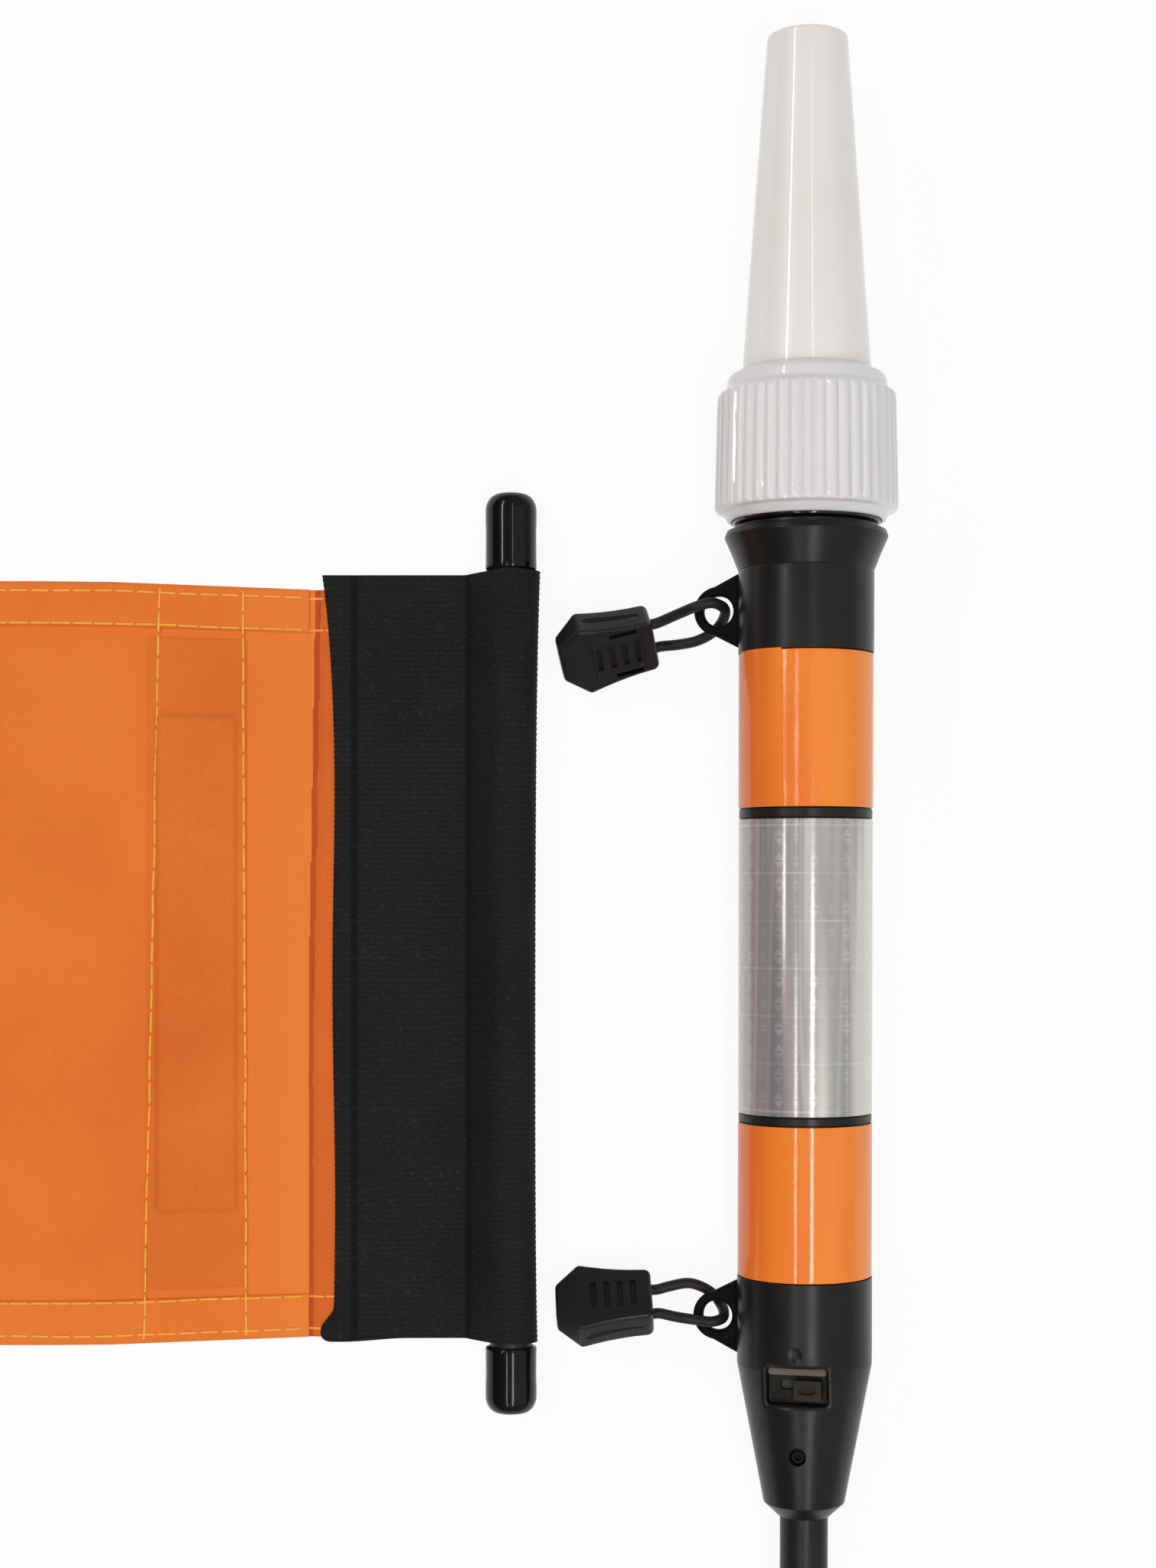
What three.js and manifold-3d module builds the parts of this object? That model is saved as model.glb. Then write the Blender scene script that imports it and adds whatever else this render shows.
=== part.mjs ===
// A portable traffic barrier laid flat: a lamp post with a stake, two pull grips, and a cloth banner.
// Millimetres, +Z up from the surface it lies on, the post along +Y, the banner towards -X.
import * as THREE from "three";
import { mergeVertices } from "three/addons/utils/BufferGeometryUtils.js";
import Module from "manifold-3d";

const wasm = await Module();
wasm.setup();

// Fits and cutting
const clearance = 0.3;
const overrun = 2;
const weldDistance = 0.0001;
const fullTurn = 2 * Math.PI;
const degree = Math.PI / 180;

// Post shell, by radius and by length along its axis from the socket's shoulder
const bandRadius = 22.05;
const tapeRadius = 22.25;
const tapeThickness = 0.5;
const tubeInnerRadius = 19.9;
const collarRadius = 22.4;
const socketStraight = 29;
const tapeWidth = 50.8;
const silverWidth = 96.9;
const lowerBandWidth = 3.4;
const upperBandWidth = 3.9;

// Lower socket and stake
const socketTaperLength = 46.7;
const socketTaperEndRadius = 13.5;
const socketBevelLength = 4.6;
const socketSpigotLength = 31;
const springWellDepth = 12;
const springWellRadius = 17;
const stakeRadius = 8;
const stakeFreeLength = 150;
const stakeSeatDepth = 35;
const stakeChamfer = 1.4;
const screwRadius = 2.4;
const screwStation = -28.9;
const screwSunk = 2.2;
const screwSocketRadius = 1.3;
const screwSocketDepth = 1.6;
const dimpleRadius = 2.7;
const dimpleStation = 5.9;
const dimpleDepth = 0.6;

// Switch window in the socket
const windowWidth = 19.7;
const windowHeight = 12.3;
const windowStation = -4.95;
const windowFloor = 14;
const windowChamfer = 1.6;
const plateThickness = 1.2;
const plateRidgeWidth = 2.4;
const plateRidgeHeight = 1.6;
const knobWidth = 9.3;
const knobHeight = 7;
const knobDepth = 3.4;
const knobOffset = 3.5;
const knobTravel = 7;
const knobSlotWidth = 5.6;
const knobSlotHeight = 2.4;
const knobSlotDepth = 1.4;
const stemWidth = 3.6;
const stemHeight = 2.6;
const switchBodyDepth = 2.6;

// Upper collar
const collarStraight = 27.4;
const flangeRadius = 27;
const flangeTaperLength = 10.9;
const flangeTopRadius = 26.3;
const flangeTopLength = 1.9;
const collarSpigotLength = 43.4;
const collarBoreRadius = 16.5;

// Ears on the collar and the socket
const earReach = 29.2;
const earNoseRadius = 8.2;
const earHoleRadius = 5;
const earThickness = 4;
const earBase = 28.8;
const upperEarStation = 250.1;
const lowerEarStation = 14.6;
const featureRoll = 13 * degree;

// Batteries and contacts
const cellRadius = 16.8;
const cellBody = 59.7;
const cellNubRadius = 4.5;
const cellNubHeight = 1.8;
const linerInnerRadius = 17.3;
const springRadius = 12;
const springWire = 0.8;
const springLength = 19;
const springTurns = 5;
const contactDiscRadius = 8;
const contactDiscThickness = 1.2;
const contactPinRadius = 1.7;

// Lamp head, ring and cone
const headGap = 3.2;
const headFlangeThickness = 1.4;
const headRadius = 23.3;
const headCavityRadius = 20.4;
const headCavityDepth = 30;
const headPlugLength = 17;
const grooveRadius = 21.8;
const grooveWidth = 3;
const oringRadius = 1.25;
const ringLipRadius = 26.1;
const ringLipTopRadius = 27.6;
const ringLipLength = 2.8;
const ringLowRadius = 30.1;
const ringHighRadius = 29.2;
const ringRibLength = 38.6;
const ringRibStep = 0.6;
const ringRibDepth = 1.1;
const ringRibs = 44;
const ringShoulderRadius = 26.6;
const ringShoulderTopRadius = 25.9;
const ringShoulderLength = 3.6;
const ringChamferLength = 1.4;
const ringTopBevel = 2.4;
const ringSealBore = 24.9;
const ringSealLength = 5.4;
const coneBaseRadius = 21.2;
const coneTopRadius = 13.3;
const coneLength = 110;
const coneWall = 1.6;
const coneFlangeThickness = 4;
const coneCrownRadius = 3;
const boardRadius = 18;
const boardThickness = 1.6;
const emitterRadius = 3;
const reflectorWall = 1.2;
const reflectorThroatRadius = 4.4;

// Pull grips and their cords
const gripLength = 32.5;
const gripWideWidth = 27;
const gripNarrowWidth = 20;
const gripTipWidth = 13.6;
const gripShoulder = 24.4;
const gripThickness = 11.5;
const gripBevel = 1.2;
const gripRoll = 45 * degree;
const gripRestHeight = 14.1;
const gripCornerRadius = 2.4;
const cordRadius = 1.8;
const cordSpacing = 10;
const cordSeatDepth = 7;
const cordSeatEnd = 6;
const cordLeadOut = 2;
const insertLength = 17;
const insertWidth = 14.6;
const insertThickness = 2.6;
const insertCentre = -12.9;
const notchWidth = 1.6;
const gripGrooves = 4;
const gripGroovePitch = 4.4;
const gripGrooveWidth = 1.9;
const gripGrooveDepth = 0.8;
const sideGrooveLength = 21;
const sideGrooveWidth = 3;
const sideGrooveDepth = 0.7;
const upperGrip = { x: -50.2, y: 110.2, turn: 14 * degree, roll: gripRoll };
const lowerGrip = { x: -50.5, y: -114.1, turn: 3.5 * degree, roll: Math.PI - gripRoll };

// Cord routes between the two seats in the grip, each point measured from the middle of its ear's hole
const upperCordRoute = [
  [-14, -0.8, -1.2],
  [-7.4, 1.3, 3.5],
  [-2.6, 2.3, 4.4],
  [1.1, 1.2, 2.4],
  [2.1, -0.3, -0.6],
  [1.2, -2.9, -4.2],
  [-1.6, -6, -6.2],
  [-7, -8.6, -8.8],
  [-14, -9.7, -11],
];
const lowerCordRoute = [
  [-14, -0.5, 2.1],
  [-7.4, -1.4, 2.8],
  [-2.4, -1.9, 3.4],
  [1.1, -1.1, 2.1],
  [2.1, 0.4, -0.6],
  [1.2, 3, -4.2],
  [-2, 6.8, -5.6],
  [-9, 9.8, -5.6],
  [-16, 8.8, -5.6],
];
const cordSteps = 30;
const cordSides = 8;

// Where the post lies
const postFootY = -132.9;

// Banner, by distance from its own middle
const rodSpan = 560;
const rodToPost = 98.2;
const rodRadius = 7.15;
const capRadius = 8.7;
const capLength = 22.4;
const capBore = 18;
const capRim = 1.6;
const rodTop = 157;
const rodBottom = -150.4;
const clothThickness = 0.8;
const panelMiddleHeight = 261;
const panelEndHeight = 255.5;
const panelEndLength = 70;
const hemWidth = 15;
const hemThickness = 1.6;
const sleeveLength = 262;
const sleeveShift = 1.6;
const sleeveWidth = 72.1;
const sleeveFlatWidth = 47.5;
const sleeveThickness = 2.8;
const sleeveWall = 0.7;
const creaseToRod = 66.8;
const tabWidth = 16.3;
const pocketFromRod = 91;
const pocketWidth = 33.8;
const pocketMargin = 3.5;
const pocketSeam = 3.2;
const pocketRise = 1.8;
const stiffenerWidth = 24;
const stiffenerMargin = 28;
const stiffenerThickness = 1.2;

// How finely round shapes are cut
const fineSides = 36;
const plainSides = 24;
const smallSides = 14;
const curveSteps = 3;
const springStepsPerTurn = 8;
const springSides = 5;
const sealSides = 6;

// Stations along the post, from the socket's shoulder
const lowerTapeStart = socketStraight + clearance;
const lowerTapeEnd = lowerTapeStart + tapeWidth;
const silverStart = lowerTapeEnd + lowerBandWidth;
const silverEnd = silverStart + silverWidth;
const upperTapeStart = silverEnd + upperBandWidth;
const upperTapeEnd = upperTapeStart + tapeWidth;
const collarStart = upperTapeEnd + clearance;
const collarTop = collarStart + collarStraight + flangeTaperLength + flangeTopLength;
const collarSpigotEnd = collarStart - collarSpigotLength;
const spigotRadius = tubeInnerRadius - clearance;
const socketSpigotEnd = socketStraight + socketSpigotLength;
const socketEnd = -socketTaperLength - socketBevelLength;
const stakeTop = socketEnd + stakeSeatDepth;
const springSeat = socketSpigotEnd - springWellDepth;
const firstCellStart = springSeat + springLength + 2 * clearance;
const cellPitch = cellBody + cellNubHeight + clearance;
const contactStart = firstCellStart + 2 * cellPitch;
const ringStart = collarTop + headGap;
const ribStart = ringStart + ringLipLength + ringRibStep;
const ribEnd = ribStart + ringRibLength;
const ringShoulderStart = ribEnd + ringChamferLength;
const ringShoulderEnd = ringShoulderStart + ringShoulderLength;
const ringEnd = ringShoulderEnd + ringTopBevel;
const coneFlangeEnd = ringShoulderEnd - ringChamferLength;
const coneFlangeStart = coneFlangeEnd - coneFlangeThickness;
const headTop = coneFlangeStart - clearance;
const headFlangeStart = collarTop + clearance;
const grooveStart = headFlangeStart + headFlangeThickness;
const cavityFloor = headTop - headCavityDepth;

// The panel ends at the two creases, where the tabs of the sleeves begin
const panelWidth = rodSpan - 2 * creaseToRod - clearance;

// The pocket strips fit between the hems, and the stiffeners stop short of the strips' ends
const pocketLength = panelMiddleHeight - 2 * hemWidth - 2 * pocketMargin;
const stiffenerLength = pocketLength - 2 * stiffenerMargin;

// Turns a closed geometry into a solid that can be joined and cut.
function solidOf(geometry) {
  const loose = geometry.index ? geometry.toNonIndexed() : geometry;
  const bare = new THREE.BufferGeometry();
  bare.setAttribute("position", loose.getAttribute("position"));
  const welded = mergeVertices(bare, weldDistance);
  const corners = welded.index.array;
  const kept = [];
  for (let i = 0; i < corners.length; i += 3) {
    const [a, b, c] = corners.slice(i, i + 3);
    if (a !== b && b !== c && c !== a) kept.push(a, b, c);
  }
  const vertProperties = welded.attributes.position.array;
  const triVerts = new Uint32Array(kept);
  return new wasm.Manifold(new wasm.Mesh({ numProp: 3, vertProperties, triVerts }));
}

function geometryOf(solid) {
  const mesh = solid.getMesh();
  const geometry = new THREE.BufferGeometry();
  geometry.setAttribute("position", new THREE.BufferAttribute(mesh.vertProperties, 3));
  geometry.setIndex(new THREE.BufferAttribute(mesh.triVerts, 1));
  geometry.computeVertexNormals();
  return geometry;
}

function cut(geometry, ...cutters) {
  let solid = solidOf(geometry);
  cutters.forEach((cutter) => {
    solid = solid.subtract(solidOf(cutter));
  });
  return geometryOf(solid);
}

function join(geometry, ...additions) {
  let solid = solidOf(geometry);
  additions.forEach((addition) => {
    solid = solid.add(solidOf(addition));
  });
  return geometryOf(solid);
}

// Revolves a profile of radius and station pairs, anticlockwise, round the post's axis.
function revolve(profile, sides = plainSides) {
  const points = profile.map(([radius, station]) => new THREE.Vector2(radius, station));
  return new THREE.LatheGeometry(points, sides);
}

function hollow(profile, sides = plainSides) {
  return revolve([...profile, profile[0]], sides);
}

function block(width, length, height, x, y, z) {
  return new THREE.BoxGeometry(width, length, height).translate(x, y, z);
}

// A plate with the outline of a shape, standing on z = 0.
function plate(shape, thickness) {
  return new THREE.ExtrudeGeometry(shape, { depth: thickness, bevelEnabled: false });
}

function outline(points) {
  return new THREE.Shape(points.map(([x, y]) => new THREE.Vector2(x, y)));
}

// A wall profile in x and z, drawn along Y and centred on y = 0.
function drawnAlongY(shape, length) {
  return plate(shape, length).rotateX(Math.PI / 2).translate(0, length / 2, 0);
}

const finishes = {
  blackPlastic: { color: 0x232121, roughness: 0.45 },
  blackRubber: { color: 0x161616, roughness: 0.3 },
  orangeTape: { color: 0xeb8232, roughness: 0.4 },
  silverTape: { color: 0xbebebe, roughness: 0.3, metalness: 0.4 },
  warmDiffuser: { color: 0xe1dcd7, roughness: 0.35 },
  whiteDiffuser: { color: 0xdcdcde, roughness: 0.35 },
  orangeCloth: { color: 0xe47832, roughness: 0.85 },
  blackWeave: { color: 0x232323, roughness: 0.9 },
  clearSheet: { color: 0xd8d2c6, roughness: 0.5 },
  glossVinyl: { color: 0x111112, roughness: 0.2 },
  darkMetal: { color: 0x3b3b3d, roughness: 0.4, metalness: 0.8 },
  steel: { color: 0xb9bcc0, roughness: 0.3, metalness: 0.9 },
  cellJacket: { color: 0x3c4a58, roughness: 0.4 },
  boardGreen: { color: 0x2f6b46, roughness: 0.6 },
  emitterYellow: { color: 0xf2d46a, roughness: 0.3 },
  greyPlastic: { color: 0x77736c, roughness: 0.6 },
};

function addPiece(group, name, geometry, finish) {
  const mesh = new THREE.Mesh(geometryOf(solidOf(geometry)), new THREE.MeshStandardMaterial(finish));
  mesh.name = name;
  group.add(mesh);
  return mesh;
}

// An ear is a rounded triangle standing out to the left, square to the post's front.
function earGeometry(station) {
  const root = collarRadius - earThickness;
  const shape = new THREE.Shape();
  const half = earBase / 2;
  const lean = Math.asin(earNoseRadius / Math.hypot(earReach - root, half)) + Math.atan2(half, earReach - root);
  shape.moveTo(-root, -half);
  shape.lineTo(-root, half);
  shape.absarc(-earReach, 0, earNoseRadius, Math.PI / 2 + Math.PI / 2 - lean, Math.PI + lean, false);
  shape.closePath();
  return plate(shape, earThickness).translate(0, station, -earThickness / 2);
}

function earHole(station) {
  const depth = earThickness + 2 * overrun;
  const hole = new THREE.CylinderGeometry(earHoleRadius, earHoleRadius, depth, plainSides);
  return hole.rotateX(Math.PI / 2).translate(-earReach, station, 0);
}

// The post's tube has a shallow recess for each tape and full-size bands between them.
function postTube() {
  const seatRadius = tapeRadius - tapeThickness - clearance;
  return hollow([
    [tubeInnerRadius, lowerTapeStart],
    [seatRadius, lowerTapeStart],
    [seatRadius, lowerTapeEnd + clearance],
    [bandRadius, lowerTapeEnd + clearance],
    [bandRadius, silverStart - clearance],
    [seatRadius, silverStart - clearance],
    [seatRadius, silverEnd + clearance],
    [bandRadius, silverEnd + clearance],
    [bandRadius, upperTapeStart - clearance],
    [seatRadius, upperTapeStart - clearance],
    [seatRadius, upperTapeEnd],
    [tubeInnerRadius, upperTapeEnd],
  ], fineSides);
}

function tapeBand(start, end) {
  return hollow([
    [tapeRadius - tapeThickness, start],
    [tapeRadius, start],
    [tapeRadius, end],
    [tapeRadius - tapeThickness, end],
  ], fineSides);
}

// Radius of the socket's outside at a station below its shoulder.
function socketRadiusAt(station) {
  const share = -station / socketTaperLength;
  return collarRadius + (socketTaperEndRadius - collarRadius) * share;
}

function lowerSocket() {
  const boreRadius = stakeRadius + clearance;
  const body = revolve([
    [0, stakeTop + clearance],
    [boreRadius, stakeTop + clearance],
    [boreRadius, socketEnd],
    [boreRadius + clearance, socketEnd],
    [socketTaperEndRadius, -socketTaperLength],
    [collarRadius, 0],
    [collarRadius, socketStraight],
    [spigotRadius, socketStraight],
    [spigotRadius, socketSpigotEnd],
    [springWellRadius, socketSpigotEnd],
    [springWellRadius, springSeat],
    [0, springSeat],
  ], fineSides);
  const pocketDepth = collarRadius + overrun - windowFloor;
  const pocket = block(
    windowWidth, windowHeight, pocketDepth,
    0, windowStation, windowFloor + pocketDepth / 2,
  );
  const well = block(
    knobTravel + stemWidth + 4 * clearance, stemHeight + 4 * clearance, switchBodyDepth + 2 * clearance + overrun,
    0, windowStation, windowFloor - switchBodyDepth / 2 - clearance + overrun / 2,
  );
  const screwHole = new THREE.CylinderGeometry(
    screwRadius + clearance, screwRadius + clearance, collarRadius, smallSides,
  ).rotateX(Math.PI / 2).translate(0, screwStation, collarRadius / 2 + stakeRadius / 2);
  const dimple = new THREE.CylinderGeometry(dimpleRadius, dimpleRadius, 2 * overrun, smallSides)
    .rotateX(Math.PI / 2)
    .translate(0, dimpleStation, collarRadius - dimpleDepth + overrun);
  return cut(
    join(body, earGeometry(lowerEarStation)),
    pocket, well, windowBevel(), screwHole, dimple, earHole(lowerEarStation),
  );
}

// A shallow frustum breaks the edge of the window.
function windowBevel() {
  const depth = 2 * windowChamfer + overrun;
  const narrow = outline([
    [-windowWidth / 2, -windowHeight / 2],
    [windowWidth / 2, -windowHeight / 2],
    [windowWidth / 2, windowHeight / 2],
    [-windowWidth / 2, windowHeight / 2],
  ]);
  const bevel = new THREE.ExtrudeGeometry(narrow, {
    depth,
    bevelEnabled: true,
    bevelSize: windowChamfer,
    bevelThickness: windowChamfer,
    bevelSegments: 1,
  });
  const edgeHeight = Math.sqrt(collarRadius ** 2 - (windowWidth / 2) ** 2);
  return bevel.translate(0, windowStation, edgeHeight - windowChamfer / 2);
}

function switchPlate() {
  const width = windowWidth - 2 * clearance;
  const height = windowHeight - 2 * clearance;
  const bottom = windowFloor + clearance;
  const slab = block(width, height, plateThickness, 0, windowStation, bottom + plateThickness / 2);
  const ridge = block(
    width, plateRidgeWidth, plateRidgeHeight + plateThickness,
    0, windowStation + height / 2 - plateRidgeWidth / 2, bottom + (plateRidgeHeight + plateThickness) / 2,
  );
  const slot = block(
    knobTravel + stemWidth + 2 * clearance, stemHeight + 2 * clearance, plateThickness + 2 * overrun,
    0, windowStation, bottom + plateThickness / 2,
  );
  return cut(join(slab, ridge), slot);
}

function switchKnob() {
  const bottom = windowFloor + plateThickness + 2 * clearance;
  const centre = windowStation - plateRidgeWidth / 2;
  const head = block(knobWidth, knobHeight, knobDepth, knobOffset, centre, bottom + knobDepth / 2);
  const stemDepth = plateThickness + 3 * clearance;
  const stem = block(
    stemWidth, stemHeight, stemDepth + clearance,
    knobOffset, windowStation, bottom - stemDepth / 2 + clearance / 2,
  );
  const slot = block(
    knobSlotWidth, knobSlotHeight, 2 * knobSlotDepth,
    knobOffset, centre, bottom + knobDepth,
  );
  return cut(join(head, stem), slot);
}

function switchBody() {
  const width = knobTravel + stemWidth + 2 * clearance;
  return block(
    width, stemHeight + 2 * clearance, switchBodyDepth - clearance,
    0, windowStation, windowFloor - clearance - switchBodyDepth / 2,
  );
}

function stakeRod() {
  const end = socketEnd - stakeFreeLength;
  return revolve([
    [0, end],
    [stakeRadius - stakeChamfer, end],
    [stakeRadius, end + stakeChamfer],
    [stakeRadius, stakeTop - stakeChamfer],
    [stakeRadius - stakeChamfer, stakeTop],
    [0, stakeTop],
  ], fineSides);
}

function rodScrew() {
  const top = socketRadiusAt(screwStation) - screwSunk;
  const bottom = stakeRadius + clearance;
  const shank = new THREE.CylinderGeometry(screwRadius, screwRadius, top - bottom, smallSides);
  const key = new THREE.CylinderGeometry(screwSocketRadius, screwSocketRadius, 2 * screwSocketDepth, 6);
  key.translate(0, (top - bottom) / 2, 0);
  return cut(shank, key).rotateX(Math.PI / 2).translate(0, screwStation, (top + bottom) / 2);
}

function upperCollar() {
  const body = hollow([
    [collarBoreRadius, collarSpigotEnd],
    [spigotRadius, collarSpigotEnd],
    [spigotRadius, collarStart],
    [collarRadius, collarStart],
    [collarRadius, collarStart + collarStraight],
    [flangeRadius, collarStart + collarStraight + flangeTaperLength],
    [flangeTopRadius, collarTop],
    [collarBoreRadius, collarTop],
  ], fineSides);
  return cut(join(body, earGeometry(upperEarStation)), earHole(upperEarStation));
}

function batteryCell(start) {
  return revolve([
    [0, start],
    [cellRadius, start],
    [cellRadius, start + cellBody],
    [cellNubRadius, start + cellBody],
    [cellNubRadius, start + cellBody + cellNubHeight],
    [0, start + cellBody + cellNubHeight],
  ]);
}

function batterySleeve() {
  return hollow([
    [linerInnerRadius, socketSpigotEnd + clearance],
    [spigotRadius, socketSpigotEnd + clearance],
    [spigotRadius, collarSpigotEnd - clearance],
    [linerInnerRadius, collarSpigotEnd - clearance],
  ]);
}

class SpringPath extends THREE.Curve {
  getPoint(share, target = new THREE.Vector3()) {
    const angle = share * springTurns * fullTurn;
    const rise = springWire + share * (springLength - 2 * springWire);
    const station = springSeat + clearance + rise;
    return target.set(springRadius * Math.cos(angle), station, springRadius * Math.sin(angle));
  }
}

function roundSection(radius, sides) {
  const points = [];
  for (let i = 0; i < sides; i += 1) {
    const angle = ((i + 1 / 2) / sides) * fullTurn;
    points.push([radius * Math.cos(angle), radius * Math.sin(angle)]);
  }
  return outline(points);
}

function batterySpring() {
  return new THREE.ExtrudeGeometry(roundSection(springWire, springSides), {
    steps: springTurns * springStepsPerTurn,
    extrudePath: new SpringPath(),
    bevelEnabled: false,
  });
}

function contactPin() {
  const start = contactStart;
  return revolve([
    [0, start],
    [contactDiscRadius, start],
    [contactDiscRadius, start + contactDiscThickness],
    [contactPinRadius, start + contactDiscThickness],
    [contactPinRadius, cavityFloor - clearance],
    [0, cavityFloor - clearance],
  ], smallSides);
}

function lampHead() {
  const plugRadius = collarBoreRadius - clearance;
  const holeRadius = contactPinRadius + clearance;
  return hollow([
    [holeRadius, collarTop - headPlugLength],
    [plugRadius, collarTop - headPlugLength],
    [plugRadius, headFlangeStart],
    [headRadius, headFlangeStart],
    [headRadius, grooveStart],
    [grooveRadius, grooveStart],
    [grooveRadius, grooveStart + grooveWidth],
    [headRadius, grooveStart + grooveWidth],
    [headRadius, headTop],
    [headCavityRadius, headTop],
    [headCavityRadius, cavityFloor],
    [holeRadius, cavityFloor],
  ], fineSides);
}

function headOring() {
  const centre = grooveRadius + clearance + oringRadius;
  const ring = new THREE.TorusGeometry(centre, oringRadius, sealSides, fineSides);
  return ring.rotateX(Math.PI / 2).translate(0, grooveStart + grooveWidth / 2, 0);
}

function ledBoard() {
  const start = cavityFloor + clearance;
  return revolve([
    [0, start],
    [boardRadius, start],
    [boardRadius, start + boardThickness],
    [0, start + boardThickness],
  ]);
}

function ledEmitter() {
  const start = cavityFloor + boardThickness + 2 * clearance;
  const profile = [[0, start], [emitterRadius, start]];
  for (let i = 0; i <= curveSteps; i += 1) {
    const angle = (i / curveSteps) * (Math.PI / 2);
    profile.push([
      i < curveSteps ? emitterRadius * Math.cos(angle) : 0,
      start + emitterRadius / 2 + emitterRadius * Math.sin(angle),
    ]);
  }
  return revolve(profile, smallSides);
}

// A cup that opens from the emitter to the mouth of the head.
function reflectorCup() {
  const start = cavityFloor + boardThickness + 2 * clearance;
  const end = headTop - clearance;
  const mouth = headCavityRadius - clearance;
  const outer = [];
  const inner = [];
  for (let i = 0; i <= curveSteps; i += 1) {
    const share = i / curveSteps;
    const radius = reflectorThroatRadius + (mouth - reflectorWall - reflectorThroatRadius) * Math.sqrt(share);
    const station = start + (end - start) * share;
    inner.unshift([radius, station]);
    outer.push([radius + reflectorWall, station]);
  }
  return hollow([...outer, ...inner]);
}

// The ring's outside carries upright ribs between a smooth lip and a smooth shoulder.
function lampRing() {
  const stepsPerRib = 3;
  const around = ringRibs * stepsPerRib;
  const boreRadius = headRadius + clearance;
  const rows = [
    [ringLipRadius, ringStart, 0],
    [ringLipTopRadius, ringStart + ringLipLength, 0],
    [ringLowRadius, ribStart, ringRibDepth],
    [ringHighRadius, ribEnd, ringRibDepth],
    [ringShoulderRadius, ringShoulderStart, 0],
    [ringShoulderTopRadius, ringShoulderEnd, 0],
    [coneBaseRadius + clearance, ringEnd, 0],
    [coneBaseRadius + clearance, coneFlangeEnd + clearance, 0],
    [boreRadius, coneFlangeEnd + clearance, 0],
    [boreRadius, ringStart + ringSealLength, 0],
    [ringSealBore, ringStart + ringSealLength, 0],
    [ringSealBore, ringStart, 0],
  ];
  const positions = [];
  const corners = [];
  rows.forEach(([radius, station, depth], row) => {
    const above = (row + 1) % rows.length;
    for (let i = 0; i < around; i += 1) {
      const angle = (i / around) * fullTurn;
      const reach = i % stepsPerRib === 0 ? radius - depth : radius;
      const next = (i + 1) % around;
      positions.push(reach * Math.sin(angle), station, reach * Math.cos(angle));
      corners.push(row * around + i, row * around + next, above * around + i);
      corners.push(above * around + next, above * around + i, row * around + next);
    }
  });
  const geometry = new THREE.BufferGeometry();
  geometry.setAttribute("position", new THREE.Float32BufferAttribute(positions, 3));
  geometry.setIndex(corners);
  return geometry;
}

// A hollow cone, held by the flange at its foot.
function lampCone() {
  const top = ringEnd + coneLength;
  const crownStart = top - coneCrownRadius;
  const profile = [
    [headRadius, coneFlangeStart],
    [headRadius, coneFlangeEnd],
    [coneBaseRadius, coneFlangeEnd],
    [coneBaseRadius, ringEnd],
    [coneTopRadius, crownStart],
  ];
  for (let i = 1; i <= curveSteps; i += 1) {
    const angle = (i / curveSteps) * (Math.PI / 2);
    profile.push([
      coneTopRadius - coneCrownRadius + coneCrownRadius * Math.cos(angle),
      crownStart + coneCrownRadius * Math.sin(angle),
    ]);
  }
  profile.push([0, top], [0, top - coneWall]);
  profile.push([coneTopRadius - coneCrownRadius, top - coneWall]);
  profile.push([coneTopRadius - coneWall, crownStart]);
  profile.push([coneBaseRadius - coneWall, ringEnd]);
  profile.push([coneBaseRadius - coneWall, coneFlangeStart]);
  return hollow(profile, fineSides);
}

// Seen from its front, a grip widens from the cord to its shoulder and ends in a blunt point.
function gripOutline(inset) {
  const half = gripNarrowWidth / 2 - inset;
  const wide = gripWideWidth / 2 - inset;
  const tip = gripTipWidth / 2 - inset / 2;
  const round = gripCornerRadius - inset;
  const shape = new THREE.Shape();
  shape.moveTo(-inset, -half + round);
  shape.lineTo(-inset, half - round);
  shape.absarc(-inset - round, half - round, round, 0, Math.PI / 2, false);
  shape.lineTo(-gripShoulder, wide);
  shape.lineTo(-gripLength + inset, tip);
  shape.lineTo(-gripLength + inset, -tip);
  shape.lineTo(-gripShoulder, -wide);
  shape.absarc(-inset - round, -half + round, round, -Math.PI / 2, 0, false);
  return shape;
}

function gripGrooveCutters(faceHeight, width) {
  const cutters = [];
  for (let i = 0; i < gripGrooves; i += 1) {
    const x = insertCentre + (i - (gripGrooves - 1) / 2) * gripGroovePitch;
    cutters.push(block(gripGrooveWidth, width, 2 * gripGrooveDepth, x, 0, faceHeight));
  }
  return cutters;
}

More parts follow.
